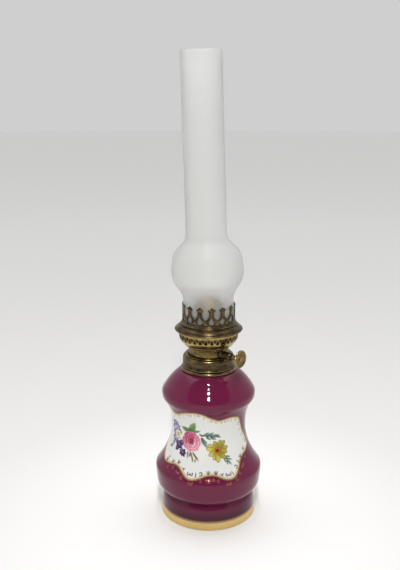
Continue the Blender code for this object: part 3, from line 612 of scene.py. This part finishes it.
def paintBody(angle, height, along, radiusAt, alongAt):
    c = cartouche
    p = Painting(angle, along, radiusAt, alongAt, c["glaze"])
    everywhere = np.arange(len(angle))
    band = np.clip((bodyShape["giltTop"] - height) / 0.3 + 0.5, 0, 1)
    p.lay(everywhere, band, linearColour(c["gold"]), 1.0)

    flat = np.array([36.5 * math.pi / 180, 1.0])    # degrees to mm on the waist
    loop = smoothLine(np.array(c["outline"]) * flat, 6, True)
    near = np.nonzero((np.abs(angle) < 105) & (height > 44) & (height < 116))[0]
    spots = np.stack([angle[near], height[near]], -1) * flat
    edge = lineDistance(spots, loop, True) * np.where(insideLoop(spots, loop), 1, -1)
    p.lay(near, np.clip(edge / 0.25 + 0.5, 0, 1), linearColour(c["white"]), 0.0)
    p.lay(near, np.clip((0.35 - np.abs(edge + 0.55)) / 0.3 + 0.5, 0, 1) * 0.6, linearColour("#2c0614"), 0.0)
    p.lay(near, np.clip((0.75 - np.abs(edge - 1.1)) / 0.9 + 0.5, 0, 1) * 0.8, linearColour("#d6c199"), 0.15)
    p.lay(near, np.clip((0.50 - np.abs(edge)) / 0.3 + 0.5, 0, 1), linearColour(c["line"]), 0.45)

    layOrnaments(p, ornaments, c["ink"], 0.25, 1.35, 0.85, 1.0)
    layOrnaments(p, paleOrnaments, "#bb9f68", 0.35, 1.2, 0.7, 0.85)
    layOrnaments(p, glazeScrolls, "#b4744a", 0.4, 1.15, 0.55, 0.75)

    # lilac spray on the far left, with a cream blossom in it
    for k in range(84):
        t = (k % 28) / 27
        drift = 9.0 * math.sin(k * 2.399) * (0.45 + 0.55 * math.sin(math.pi * min(1, t * 1.2)))
        spot = (-59.0 + 3.5 * math.sin(t * 3.0) + drift, 96.5 - 19.5 * t)
        shade = ("#8f84aa", "#5a4c78", "#776a98", "#a9a0bd")[k % 4]
        p.leaf(spot, 2.8 + 0.8 * math.sin(k * 1.3), 1.15, 250 + 40 * math.sin(k * 1.9), (shade, shade), 0.6)
    paintFrond(p, (-60, 77), -112, 8, 3, leafTones["grey"])
    p.leaf((-65, 71), 3.4, 1.2, 215, ("#2e4a2c", "#5f8a4a"), 0.7)
    for k in range(8):
        p.leaf((-52.5, 84.0), 4.4, 1.3, 45 * k + 12, ("#bfae6a", "#f2ead0"), 0.6)
    p.dab((-52.5, 84.0), (0, 0), 1.15, "#7d7440")
    p.dab((-52.5, 84.0), (0.2, 0.2), 0.7, "#dccb58")
    layLeaves(p, roseLeaves)
    # twisting grey-green leaves between rose and daisy
    p.stroke((-13, 87.8), [(0, 0), (2.0, 0.8), (4.2, 0.1), (7.5, 0.9), (11, 1.2)], 0.5, "#3c5246")
    layLeaves(p, twistedLeaves)
    p.dab((-9.5, 88.0), (0, 0), 0.8, "#4a3426")
    p.dab((-7.6, 88.2), (0, 0.3), 0.5, "#7a4a34")
    # leaves under the daisy
    p.stroke((20.0, 69.5), [(0, 0), (3.0, -3.6), (5.4, -7.6)], 0.5, "#3c5246")
    layLeaves(p, daisyLeaves)
    for spot, size, turn in violets:
        paintViolet(p, spot, size, turn)
    paintRose(p, (-27.0, 81.4), 8.3)
    paintDaisy(p, (13.0, 74.6), 9.6)
    return p


def makeBody():
    s, g = bodyShape, bodyGrid
    outer = resample(bodyOutline(), g["fine"])
    sparse = resample(bodyOutline(), g["coarse"])
    panel = (outer[:, 1] > g["panel"][0]) & (outer[:, 1] < g["panel"][1])
    low, high = outer[panel][0, 1], outer[panel][-1, 1]
    outer = np.vstack([sparse[sparse[:, 1] < low - 0.4], outer[panel], sparse[sparse[:, 1] > high + 0.4]])
    below = outer[:, 1] < 8
    outer = np.vstack([resample(outer[below], 0.35), outer[~below]])
    slope = np.gradient(sparse, axis=0)
    slope /= np.hypot(*slope.T)[:, None]
    inner = sparse - s["wall"] * np.stack([slope[:, 1], -slope[:, 0]], -1)
    inner = inner[(inner[:, 1] > s["floor"] + 5) & (inner[:, 1] < s["neckTop"] - 8.5)][::2]
    rim = [(s["shoulder"][-1][0] - 1.2, s["neckTop"]), (s["bore"], s["neckTop"]), (s["bore"], 134.0),
        (s["bore"] + 4.0, 132.4)]
    under = [(38.2, s["floor"] + 2.6), (34.0, s["floor"]), (0.0, s["floor"]), (0.0, s["under"]), (38.5, s["under"]),
             (39.3, 0.0)]
    profile = np.vstack([outer, rim, inner[::-1], under])
    # columns crowd together over the painted side and spread out round the back
    left, right = g["sides"]
    fine = np.radians(np.linspace(left, right, g["columns"][0]))
    coarse = np.radians(np.linspace(right, left + 360, g["columns"][1]))[1:-1]
    angles = np.concatenate([fine, coarse])
    grid = turnProfile(profile, None, angles + faceAngle)
    height = np.repeat(profile[:, 1], len(angles))
    radius = np.repeat(profile[:, 0], len(angles))
    line = bodyOutline()
    run = np.r_[0, np.cumsum(np.hypot(*np.diff(line, axis=0).T))]
    alongAt = lambda z: np.interp(z, line[:, 1], run)
    radiusAt = lambda z: np.interp(z, line[:, 1], line[:, 0])
    around = np.tile((np.degrees(angles) + 180) % 360 - 180, len(profile))
    p = paintBody(around, height, alongAt(height), radiusAt, alongAt)
    outside = np.repeat(np.arange(len(profile)) < len(outer), len(angles))
    # painted shade: the glaze is laid darker towards the foot
    foot = np.clip((21.0 - height) / 9.0, 0, 1) * (height > bodyShape["giltTop"] + 0.2)
    p.lay(np.nonzero(outside)[0], foot[outside] * 0.75, linearColour(cartouche["foot"]))
    overRim = (radius > bodyShape["bore"] + 0.5) & (height > 134)
    outside |= overRim
    p.colour[overRim & (height > bodyShape["neckLow"] - 0.5)] = linearColour(cartouche["glaze"])
    p.colour[~outside] = linearColour("#d8d4cc")    # white biscuit inside and under the foot
    p.gilt[~outside] = 0
    faces = gridFaces(len(profile), len(angles), True, True)
    return finishMesh("porcelainBody", grid.reshape(-1, 3), faces, porcelainLook, "font", ("porcelain_font",),
                      {"paint": p.colour, "gilt": p.gilt}, 60)


makeBody()
print("porcelain body painted")

# collar, burner base and neck
collar = {"bore": 19.4, "tube": 20.3, "bead": 25.3, "beadZ": 139.7, "top": 142.6, "low": 129.5}
drum = {"radius": 23.5, "low": 144.3, "skirt": 142.95, "top": 154.7, "spigot": 17.9}
neck = {"radius": 18.4, "ring": 19.55, "top": 162.2}

turnedPiece("screwCollar", [
    (collar["bore"], collar["low"]), (collar["tube"], collar["low"]), (collar["tube"], collar["beadZ"]),
    (collar["bead"] - 0.9, collar["beadZ"]), (collar["bead"] - 0.1, collar["beadZ"] + 0.7),
    (collar["bead"] - 0.05, collar["beadZ"] + 1.7), (collar["bead"] - 0.8, collar["top"] - 0.2),
    (collar["bead"] - 2.2, collar["top"]), (collar["bore"], collar["top"])], brassLook, "font", ("font_collar",),
    reach=0.6, extra=threadRidge(18.6, collar["bore"] + 0.3, 1.0, 0.6, 134.0, 1.75, threadPitch, True))

turnedPiece("burnerDrum", [
    (drum["spigot"] - 0.9, 131.0), (drum["spigot"], 131.0), (drum["spigot"], drum["low"]),
    (22.75, drum["low"]), (22.75, drum["skirt"]), (drum["radius"], drum["skirt"]),
    (drum["radius"] + 0.32, drum["skirt"] + 0.35), (drum["radius"] + 0.32, drum["skirt"] + 1.1),
    (drum["radius"] - 0.05, drum["skirt"] + 1.5), (drum["radius"] - 0.05, drum["top"] - 4.1),
    (drum["radius"] - 0.45, drum["top"] - 2.4), (22.3, drum["top"] - 1.45), (21.5, drum["top"] - 1.3),
    (21.2, drum["top"] - 0.3), (20.2, drum["top"] - 0.02), (neck["radius"] + 0.35, drum["top"] - 0.1),
    (neck["radius"] + 0.35, drum["top"] - 0.8), (20.4, drum["top"] - 0.85), (20.8, drum["top"] - 1.9),
    (22.0, drum["top"] - 2.15), (drum["radius"] - 0.8, drum["top"] - 3.9), (drum["radius"] - 0.8, drum["low"] + 0.8),
    (12.5, drum["low"] + 0.7), (12.5, drum["low"]), (drum["spigot"] - 0.9, drum["low"])],
    brassLook, "burner", ("burner_drum",), reach=0.35,
    extra=threadRidge(drum["spigot"] - 0.3, 18.95, 1.0, 0.6, 132.75, 2.0, threadPitch, False))

turnedPiece("burnerNeck", [(neck["radius"] - 0.8, 145.2), (neck["radius"] - 0.15, 145.2),
    (neck["radius"] - 0.15, drum["top"] - 0.6), (neck["radius"], drum["top"] + 0.2),
    (neck["radius"] - 0.1, neck["top"] - 1.5), (neck["ring"] - 0.4, neck["top"] - 1.25),
    (neck["ring"], neck["top"] - 0.8), (neck["ring"] - 0.4, neck["top"] - 0.35),
    (neck["radius"] - 0.8, neck["top"] - 0.3)], rubbedBrassLook, "burner", ("burner_neck",), reach=0.25)

# raiser: boss, shaft, knob and rivet
boss = {"radius": 3.7, "end": 33.0, "bore": 1.85}
knob = {"radius": 7.95, "hub": 3.0, "teeth": 64, "toothDepth": 0.07}

turnedPiece("shaftBoss", [(boss["bore"], 17.2), (boss["radius"] - 0.6, 17.2), (boss["radius"] - 0.6, 18.6),
    (boss["radius"] - 0.02, 18.9), (boss["radius"] - 0.02, 19.8), (boss["radius"] - 0.35, 20.3),
    (boss["radius"] - 0.35, 27.4), (boss["radius"] - 0.05, 27.9), (boss["radius"] - 0.05, 28.8),
    (boss["radius"] - 0.8, 30.2), (boss["radius"] - 1.2, 32.0), (boss["bore"] + 0.3, boss["end"] - 0.02),
    (boss["bore"], boss["end"] - 0.2)], brassLook, "burner", ("shaft_boss",), columns=72, reach=0.5, place=onShaft)


def makeKnob():
    # flat disc with a rolled, finely milled rim: the rim radius rises and falls with the teeth round it
    x = shaft["knobX"]
    ring = roundCorners([
        (1.8, x - 3.2), (knob["hub"], x - 3.2), (knob["hub"], x - 1.3), (knob["radius"] - 1.0, x - 1.0),
        (knob["radius"] - 0.5, x - 1.35), (knob["radius"], x - 1.05), (knob["radius"], x + 0.05),
        (knob["radius"] - 0.4, x + 0.33), (knob["radius"] - 1.0, x), (knob["radius"] - 2.2, x - 0.24),
        (3.2, x - 0.22), (2.7, x), (2.3, x - 0.05), (1.5, x - 0.1), (1.5, x - 1.1), (1.8, x - 1.1)], 0.25)
    columns = knob["teeth"] * 6
    grid = turnProfile(ring, columns)
    onRim = np.clip((ring[:, 0] - knob["radius"] + 0.35) / 0.3, 0, 1)[:, None]
    around = np.linspace(0, fullTurn, columns, endpoint=False)[None, :]
    scale = 1 - onRim * knob["toothDepth"] * (1 + np.cos(knob["teeth"] * around)) / ring[:, :1]
    grid[:, :, :2] *= scale[:, :, None]
    wearAndShade = np.repeat(cornerWearAndShade(ring), columns)
    return finishMesh("raiserKnob", onShaft(grid.reshape(-1, 3)), gridFaces(len(ring), columns, True, True),
                      rubbedBrassLook, "raiser", ("knob_disc",), {"wearAndShade": wearAndShade})


makeKnob()
x = shaft["knobX"]
turnedPiece("knobRivet", [(0, x - 0.95), (1.15, x - 0.95), (1.15, x + 0.32), (1.85, x + 0.32), (1.75, x + 0.65),
    (1.2, x + 0.98), (0.5, x + 1.12), (0, x + 1.14)], brightBrassLook, "raiser", ("knob_rivet",), columns=48,
    reach=0.2, place=onShaft)
turnedPiece("raiserShaft", [(0, -11.2), (1.35, -11.2), (1.5, -11.0), (1.5, x - 1.5), (0, x - 1.5)], rubbedBrassLook,
    "raiser", ("wick_shaft",), columns=40, reach=0.1, place=onShaft)
print("burner base and raiser made")


# pierced sheets: basket and crown
def piercedModule(loops, spacing):
    # flat filled curve (first loop outside, the rest holes) cut into triangles no longer than spacing
    curve = bpy.data.curves.new("module", "CURVE")
    curve.dimensions = "2D"
    curve.fill_mode = "BOTH"
    for loop in loops:
        line = np.asarray(loop, dtype=float)
        dense = []
        for a, b in zip(line, np.roll(line, -1, 0)):
            pieces = max(1, int(math.ceil(np.hypot(*(b - a)) / spacing)))
            dense += [a + (b - a) * k / pieces for k in range(pieces)]
        spline = curve.splines.new("POLY")
        spline.points.add(len(dense) - 1)
        spline.points.foreach_set("co", np.c_[np.array(dense), np.zeros(len(dense)), np.ones(len(dense))].ravel())
        spline.use_cyclic_u = True
    holder = bpy.data.objects.new("module", curve)
    bpy.context.collection.objects.link(holder)
    mesh = bpy.data.meshes.new_from_object(holder.evaluated_get(bpy.context.evaluated_depsgraph_get()))
    bpy.data.objects.remove(holder)
    bm = bmesh.new()
    bm.from_mesh(mesh)
    bmesh.ops.remove_doubles(bm, verts=bm.verts, dist=1e-4)
    bmesh.ops.triangulate(bm, faces=bm.faces)
    for _ in range(3):
        long = [e for e in bm.edges if e.calc_length() > spacing * 1.25 and not e.is_boundary]
        if not long:
            break
        bmesh.ops.subdivide_edges(bm, edges=long, cuts=1)
        bmesh.ops.triangulate(bm, faces=bm.faces)
    bm.verts.ensure_lookup_table()
    points = np.array([v.co[:2] for v in bm.verts])
    faces = np.array([[v.index for v in f.verts] for f in bm.faces])
    bm.free()
    return points, faces


def piercedPiece(name, loops, count, wrap, thickness, bulge, material, body, stands, extra=None, spacing=0.9):
    # the module is repeated round the lamp, domed by its distance from the cut edges, and given a thickness
    points, faces = piercedModule(loops, spacing)
    width = loops[0][1][0] - loops[0][0][0]
    edge = np.full(len(points), 1e9)
    for k, loop in enumerate(loops):
        line = np.asarray(loop, dtype=float)
        for a, b in zip(line, np.roll(line, -1, 0)):
            if abs(a[0] - b[0]) < 1e-6 and (abs(a[0] - loops[0][0][0]) < 1e-6 or abs(a[0] - loops[0][1][0]) < 1e-6):
                continue    # the cut between two repeats isn't an edge of the sheet
            edge = np.minimum(edge, lineDistance(points, [a, b]))
    dome = bulge * np.sin(np.clip(edge / 0.9, 0, 1) * math.pi / 2)
    sheets = []
    for side in (0.0, 1.0):
        for k in range(count):
            sheets.append(wrap(points[:, 0] + k * width, points[:, 1], dome - side * (thickness + 0.6 * dome)))
    vertices = np.vstack(sheets)
    allFaces = []
    size = len(points)
    for side in range(2):
        for k in range(count):
            part = faces + (side * count + k) * size
            allFaces += (part if side == 0 else part[:, ::-1]).tolist()
    # walls along every cut edge of the module
    seen = {}
    for f in faces:
        for a, b in ((f[0], f[1]), (f[1], f[2]), (f[2], f[0])):
            seen[(a, b)] = seen.get((a, b), 0) + 1
    left, right = loops[0][0][0], loops[0][1][0]
    for (a, b) in seen:
        if (b, a) in seen:
            continue
        xa, xb = points[a, 0], points[b, 0]
        if (abs(xa - left) < 1e-4 and abs(xb - left) < 1e-4) or (abs(xa - right) < 1e-4 and abs(xb - right) < 1e-4):
            continue
        for k in range(count):
            allFaces.append([a + k * size, a + (count + k) * size, b + (count + k) * size, b + k * size])
    # painted light: each strip is lighter along its domed middle as painted highlight and darker at its cut edges as
    # painted shade
    wearAndShade = np.tile(np.clip(edge / 0.9, 0, 1) * 0.8 - 0.15, 2 * count)
    if extra is not None:
        moreVertices, moreFaces, moreWearAndShade = extra
        allFaces += (np.array(moreFaces) + len(vertices)).tolist()
        vertices = np.vstack([vertices, moreVertices])
        wearAndShade = np.concatenate([wearAndShade, moreWearAndShade])
    return finishMesh(name, vertices, allFaces, material, body, stands, {"wearAndShade": wearAndShade}, 50)


def ringPart(profile, columns, reach=0.2):
    ring = roundCorners(profile, reach)
    return turnProfile(ring, columns).reshape(-1, 3), gridFaces(len(ring), columns, True, True), \
        np.repeat(cornerWearAndShade(ring), columns)


def joinParts(parts):
    vertices, faces, wearAndShade, first = [], [], [], 0
    for v, f, w in parts:
        vertices.append(v)
        faces += (np.array(f) + first).tolist()
        wearAndShade.append(w)
        first += len(v)
    return np.vstack(vertices), faces, np.concatenate(wearAndShade)


basket = {"radius": 27.0, "holes": 32, "turn": 0.65, "sheet": 0.55, "beads": 84}
basketLine = np.array([(20.6, 163.1), (21.6, 163.9), (23.6, 165.8), (25.0, 167.4), (25.9, 169.0), (26.5, 171.2),
    (26.8, 173.6), (26.85, 175.0), (26.85, 176.6)])
basketRun = np.r_[0, np.cumsum(np.hypot(*np.diff(basketLine, axis=0).T))]


def wrapBasket(across, along, lift):
    # across is the turn in hole widths, along the run up the bowl's wall, lift is square to the wall
    angle = across / basket["holes"] * fullTurn + math.radians(basket["turn"] - 180 / basket["holes"])
    radius = np.interp(along, basketRun, basketLine[:, 0])
    height = np.interp(along, basketRun, basketLine[:, 1])
    slopeR = np.interp(along + 0.4, basketRun, basketLine[:, 0]) - np.interp(along - 0.4, basketRun, basketLine[:, 0])
    slopeZ = np.interp(along + 0.4, basketRun, basketLine[:, 1]) - np.interp(along - 0.4, basketRun, basketLine[:, 1])
    size = np.hypot(slopeR, slopeZ) + 1e-9
    radius = np.minimum(radius + lift * slopeZ / size, basket["radius"])
    height = height - lift * slopeR / size
    return np.stack([radius * np.cos(angle), radius * np.sin(angle), height], -1)


def makeBasket():
    # one hole width is the unit across, so mm are divided by the width of a hole space
    space = 26.4 * fullTurn / basket["holes"]
    runAt = lambda z: np.interp(z, basketLine[:, 1], basketRun)
    top, bottom = basketRun[-1], runAt(164.0)
    drop = [(0.5 + dx / space, runAt(171.3) + dy) for dx, dy in
            [(0, 2.4), (-0.55, 1.4), (-1.05, 0.3), (-1.3, -0.7), (-0.95, -1.6), (0, -2.0), (0.95, -1.6), (1.3, -0.7),
             (1.05, 0.3), (0.55, 1.4)]]
    half = [(dx / space, runAt(172.9) + dy) for dx, dy in [(0, -2.2), (0.9, -0.6), (1.65, 1.1), (0, 1.5)]]
    outer = [(0.0, bottom), (1.0, bottom), (1.0, half[0][1])]
    outer += [(1 - dx, y) for dx, y in half[1:3]] + [(1.0, half[3][1]), (1.0, top), (0.0, top), (0.0, half[3][1])]
    outer += [(dx, y) for dx, y in half[2:0:-1]] + [(0.0, half[0][1])]
    columns = basket["beads"] * 6
    around = np.linspace(0, fullTurn, columns, endpoint=False)
    loop = np.linspace(0, fullTurn, 12, endpoint=False)[:, None]
    size = 0.62 * (0.55 + 0.45 * np.abs(np.cos(around * basket["beads"] / 2)))[None, :]    # a string of beads
    radius = 21.75 + size * np.cos(loop)
    height = 163.95 + size * np.sin(loop)
    beads = np.stack([radius * np.cos(around), radius * np.sin(around), height], -1)
    parts = [(beads.reshape(-1, 3), gridFaces(12, columns, True, True), np.full(12 * columns, 0.5))]
    parts.append(ringPart([(18.4, 162.2), (19.3, 162.2), (20.6, 163.0), (21.9, 164.2), (21.5, 164.6), (20.1, 163.5),
        (18.4, 162.9)], 128))
    parts.append(ringPart([(26.35, 175.2), (26.85, 175.0), (26.98, 175.4), (26.98, 176.3), (26.8, 176.6),
        (26.35, 176.6)], 128))
    flatten = lambda loopPoints: [(px * space, py) for px, py in loopPoints]
    wrap = lambda across, along, lift: wrapBasket(across / space, along, lift)
    piercedPiece("airBasket", [flatten(outer), flatten(drop)], basket["holes"], wrap, basket["sheet"], 0.25,
        rubbedBrassLook, "burner", ("air_basket",), joinParts(parts), 1.0)


makeBasket()

crown = {"radius": 23.8, "wall": 0.6, "prongs": 14, "turn": -44.5}


def wrapCrown(across, along, lift):
    # across runs round the crown in mm; the points above the fold lean in, the fold itself stands out
    angle = across / crown["radius"] + math.radians(crown["turn"])
    fold = np.exp(-((along - 199.9) / 0.7) ** 2) * 0.25
    inward = np.clip((along - 200.2) / 2.0, 0, 1) * -0.15
    radius = crown["radius"] - 0.35 + np.clip(lift + fold + inward, -crown["wall"] * 1.6, 0.5)
    return np.stack([radius * np.cos(angle), radius * np.sin(angle), along + 0 * angle], -1)


def makeCrown():
    pitch = fullTurn * crown["radius"] / crown["prongs"]
    half = pitch / 2
    side = [(0.0, 202.3), (0.55, 202.0), (1.1, 201.3), (2.1, 200.9), (3.2, 200.45), (3.45, 199.9), (3.2, 199.35),
        (2.4, 199.0), (2.15, 198.0), (2.1, 196.0), (2.3, 194.4), (3.1, 192.9), (4.3, 191.4)]
    # a half-moon hole sits on the cut between two repeats, so each repeat carries half of it on either side
    moon = [(0.0, 186.6), (1.9, 186.6), (1.7, 187.4), (1.0, 188.3), (0.0, 188.8)]
    outline = [(-half, 184.6), (half, 184.6)] + [(half - u, z) for u, z in moon] + [(half, 190.9)] + side[::-1]
    outline += [(-u, z) for u, z in side[1:]] + [(-half, 190.9)] + [(u - half, z) for u, z in moon[::-1]]
    kite = [(0, 193.4), (-1.0, 192.1), (-1.9, 190.6), (-2.4, 189.2), (-2.0, 187.6), (-1.0, 186.7), (1.0, 186.7),
        (2.0, 187.6), (2.4, 189.2), (1.9, 190.6), (1.0, 192.1)]
    parts = [ringPart([(21.8, 182.0), (23.75, 182.0), (23.75, 184.3), (24.35, 184.45), (24.38, 185.1), (23.8, 185.35),
                       (23.1, 185.3), (23.1, 182.7), (21.8, 182.7)], 160)]
    piercedPiece("prongCrown", [outline, kite], crown["prongs"], wrapCrown, crown["wall"] * 0.55, 0.3, crownBrassLook,
        "gallery", ("chimney_crown",), joinParts(parts), 0.7)


makeCrown()
print("basket and crown pierced")

# gallery flange
turnedPiece("galleryFlange", [(24.1, 184.0), (24.5, 184.3), (24.95, 184.1), (25.0, 183.7), (24.75, 183.3),
    (24.75, 182.7), (25.15, 182.15), (26.0, 181.7), (27.1, 181.1), (28.1, 180.25), (28.9, 179.3), (29.6, 178.65),
    (30.2, 178.35), (30.6, 178.0), (30.68, 177.6), (30.45, 177.25), (30.0, 177.1), (27.1, 176.95), (26.0, 176.95),
    (26.0, 172.9), (25.3, 172.9), (25.3, 177.4), (27.2, 178.1), (27.9, 178.9), (27.1, 179.8), (26.2, 180.2),
    (24.8, 180.4), (24.1, 181.3)], brassLook, "gallery", ("gallery_flange",), columns=176, reach=0.4)


print("gallery made")


# frosted chimney
chimney = {"foot": (22.55, 184.6), "flare": 203.5, "rim": (17.6, 417.0), "glass": 1.7,
    "bulge": [(22.55, 206.5), (22.9, 208.6), (24.7, 212.6), (27.6, 217.3), (29.7, 220.8), (31.0, 224.3),
    (31.8, 228.0), (32.0, 231.5), (31.9, 234.3), (31.6, 237.3), (30.7, 242.3), (29.6, 245.7), (28.0, 248.7),
    (26.0, 251.4), (24.0, 253.5), (22.0, 255.4), (20.2, 257.5), (18.9, 260.3), (18.15, 264.5), (17.95, 270.0)]}


def leanOver(vertices):
    # turns the chimney about its seat by its small lean
    away = math.radians(lean["towards"] + 90)
    turn = np.array(Matrix.Rotation(math.radians(lean["degrees"]), 3, (math.cos(away), math.sin(away), 0)))
    pivot = np.array([0, 0, lean["pivotZ"]])
    return (vertices - pivot) @ turn.T + pivot


def makeChimney():
    c = chimney
    outer = np.vstack([[(c["foot"][0], c["foot"][1] + 0.8), (c["foot"][0], c["flare"] - 3.0)],
                       c["bulge"], [(17.85, 290.0), (17.8, 318.0), (17.7, 368.0), (c["rim"][0], c["rim"][1] - 0.9)]])
    outer = resample(smoothLine(outer, 6), 1.1)
    slope = np.gradient(outer, axis=0)
    slope /= np.hypot(*slope.T)[:, None]
    inner = outer - c["glass"] * np.stack([slope[:, 1], -slope[:, 0]], -1)
    lip = [(c["rim"][0] - 0.35, c["rim"][1] - 0.1), (c["rim"][0] - 0.85, c["rim"][1]),
        (c["rim"][0] - 1.4, c["rim"][1] - 0.15)]
    foot = [(c["foot"][0] - 1.5, c["foot"][1] + 0.15), (c["foot"][0] - 0.85, c["foot"][1]),
        (c["foot"][0] - 0.3, c["foot"][1] + 0.15)]
    profile = np.vstack([outer, lip, inner[::-1], foot])
    columns = 144
    grid = turnProfile(profile, columns).reshape(-1, 3)
    return finishMesh("frostedChimney", leanOver(grid), gridFaces(len(profile), columns, True, True), glassLook,
        "chimney", ("glass_chimney",), None, 60)


makeChimney()
print("chimney blown")

# CAD nodes that keep their own shape
carried = {"collar_cement": plasterLook, "burner_washer": leatherLook, "wick": cottonLook, "wick_tube": brassLook,
    "vent_tube": brassLook, "wheel_housing": brassLook, "diffuser_plate": brassLook,
    "deflector_dome": brightBrassLook, "wick_wheel_1": brassLook, "wick_wheel_2": brassLook,
    "wick_wheel_3": brassLook}
for name, look in carried.items():
    mesh = nodes[name].data
    mesh.materials.clear()
    mesh.materials.append(look)

# floor, light and camera
# floor tones by distance from the lamp; the close tone is painted light over the lamp's own shadow
stage = {"closeFloorPaintedLight": "#f3f2f0", "nearFloor": "#e5e4e2", "farFloor": "#f2f2f1", "backdrop": "#cfcfcf", "radius": 9.0,
         "dim": {"height": 50, "level": 0.15, "span": (0.66, 0.74)},
         "ceiling": {"height": 98, "level": 1.85, "span": (0.70, 0.95)}}
# a row of small lamps over the facing side: (rise in degrees, width in m), all at one distance, in m and W
lamps = {"row": ((44, 0.08), (53, 0.09), (62, 0.05), (72, 0.05), (90, 0.05)), "distance": 1.5, "aim": 0.12,
         "power": 720}


def makeStage():
    # white paper with a faint fleck; its tone goes by distance from the lamp as painted light, lightest close round
    # the lamp where its own shadow falls, lighter again far off
    material, tree, shader, place = startMaterial("palePaper")
    reach = addNode(tree, "VectorMath", {"operation": "LENGTH"}, {0: place}).outputs["Value"]
    spread = addRange(tree, reach, (0.3, 1.8), (0.5, 1.0), "SMOOTHSTEP")
    # painted light: lighter close round the lamp, where its own shadow falls
    paintedLightNearLamp = addRange(tree, reach, (0.07, 0.26), (-0.5, 0.0), "SMOOTHSTEP")
    fleck = addMaths(tree, "MULTIPLY_ADD", addNoise(tree, place, 30.0, 3.0), 0.03, -0.015)
    tone = addMaths(tree, "ADD", addMaths(tree, "ADD", spread, paintedLightNearLamp), fleck)
    stops = [(0.0, stage["closeFloorPaintedLight"]), (0.5, stage["nearFloor"]), (1.0, stage["farFloor"])]
    setShader(tree, shader, {"Base Color": addRamp(tree, tone, stops)}, {"Roughness": 0.75,
        "Specular IOR Level": 0.2})
    around = np.linspace(0, fullTurn, 96, endpoint=False)
    rings = np.array([0.0, 0.5, 1.5, stage["radius"]])[:, None]
    grid = np.stack([rings * np.cos(around), rings * np.sin(around), -0.0003 + 0 * rings * around], -1)
    mesh = bpy.data.meshes.new("paperFloor")
    mesh.from_pydata(grid.reshape(-1, 3).tolist(), [], gridFaces(4, 96, False, True))
    floor = bpy.data.objects.new("paperFloor", mesh)
    bpy.context.collection.objects.link(floor)
    mesh.materials.append(material)
    # pale walls all round near the floor; above and in front of the painted side the room is dimmer
    world = bpy.data.worlds.new("softRoom")
    bpy.context.scene.world = world
    world.use_nodes = True
    tree = world.node_tree
    towards = addNode(tree, "TexCoord").outputs["Generated"]
    wall = linearColour(stage["backdrop"])
    facing = math.radians(viewAzimuth)
    for name in ("ceiling", "dim"):
        zone = stage[name]
        e = math.radians(zone["height"])
        axis = (math.sin(facing) * math.cos(e), -math.cos(facing) * math.cos(e), math.sin(e))
        nearness = addNode(tree, "VectorMath", {"operation": "DOT_PRODUCT", 1: axis}, {0: towards}).outputs["Value"]
        share = addRange(tree, nearness, zone["span"], (0.0, 1.0), "SMOOTHSTEP")
        mixed = addNode(tree, "Mix", {"data_type": "RGBA", 7: (zone["level"],) * 3 + (1,)}, {0: share})
        if name == "ceiling":
            mixed.inputs[6].default_value = wall
        else:
            tree.links.new(wall, mixed.inputs[6])
        wall = mixed.outputs[2]
    tree.links.new(wall, tree.nodes["Background"].inputs["Color"])
    tree.nodes["Background"].inputs["Strength"].default_value = 1.0


def addLight(name, spot, target, size, power):
    data = bpy.data.lights.new(name, "AREA")
    data.shape = "RECTANGLE"
    data.size, data.size_y = size
    data.energy = power
    lamp = bpy.data.objects.new(name, data)
    bpy.context.collection.objects.link(lamp)
    lamp.location = spot
    lamp.rotation_euler = (Vector(target) - Vector(spot)).to_track_quat("-Z", "Y").to_euler()


def fromFacing(azimuth, distance, height):
    # a spot round the lamp, azimuth counted from the facing side towards the right
    a = math.radians(viewAzimuth + azimuth)
    return (distance * math.sin(a), -distance * math.cos(a), height)


makeStage()
for k, (rise, wide) in enumerate(lamps["row"]):
    e = math.radians(rise)
    spot = fromFacing(0, lamps["distance"] * math.cos(e), lamps["aim"] + lamps["distance"] * math.sin(e))
    addLight("ceilingLamp" + str(k + 1), spot, (0, 0, lamps["aim"]), (wide, wide * 0.8), lamps["power"] * wide ** 2)

camera = {"distance": 0.644, "height": 0.3767, "pitch": 13.9, "aside": 0.0078, "lens": 47.2}
cameraData = bpy.data.cameras.new("camera")
cameraData.lens = camera["lens"]
cameraData.sensor_width = 36.0
cameraObject = bpy.data.objects.new("camera", cameraData)
bpy.context.collection.objects.link(cameraObject)
facing = math.radians(viewAzimuth)
right = Vector((math.cos(facing), math.sin(facing), 0))
back = Vector((math.sin(facing), -math.cos(facing), 0))
cameraObject.location = back * camera["distance"] - right * camera["aside"] + Vector((0, 0, camera["height"]))
pitch = math.radians(camera["pitch"])
forward = -back * math.cos(pitch) - Vector((0, 0, math.sin(pitch)))
cameraObject.rotation_euler = forward.to_track_quat("-Z", "Y").to_euler()
bpy.context.scene.camera = cameraObject
bpy.context.scene.view_settings.view_transform = "Standard"
print("stage, light and camera set")
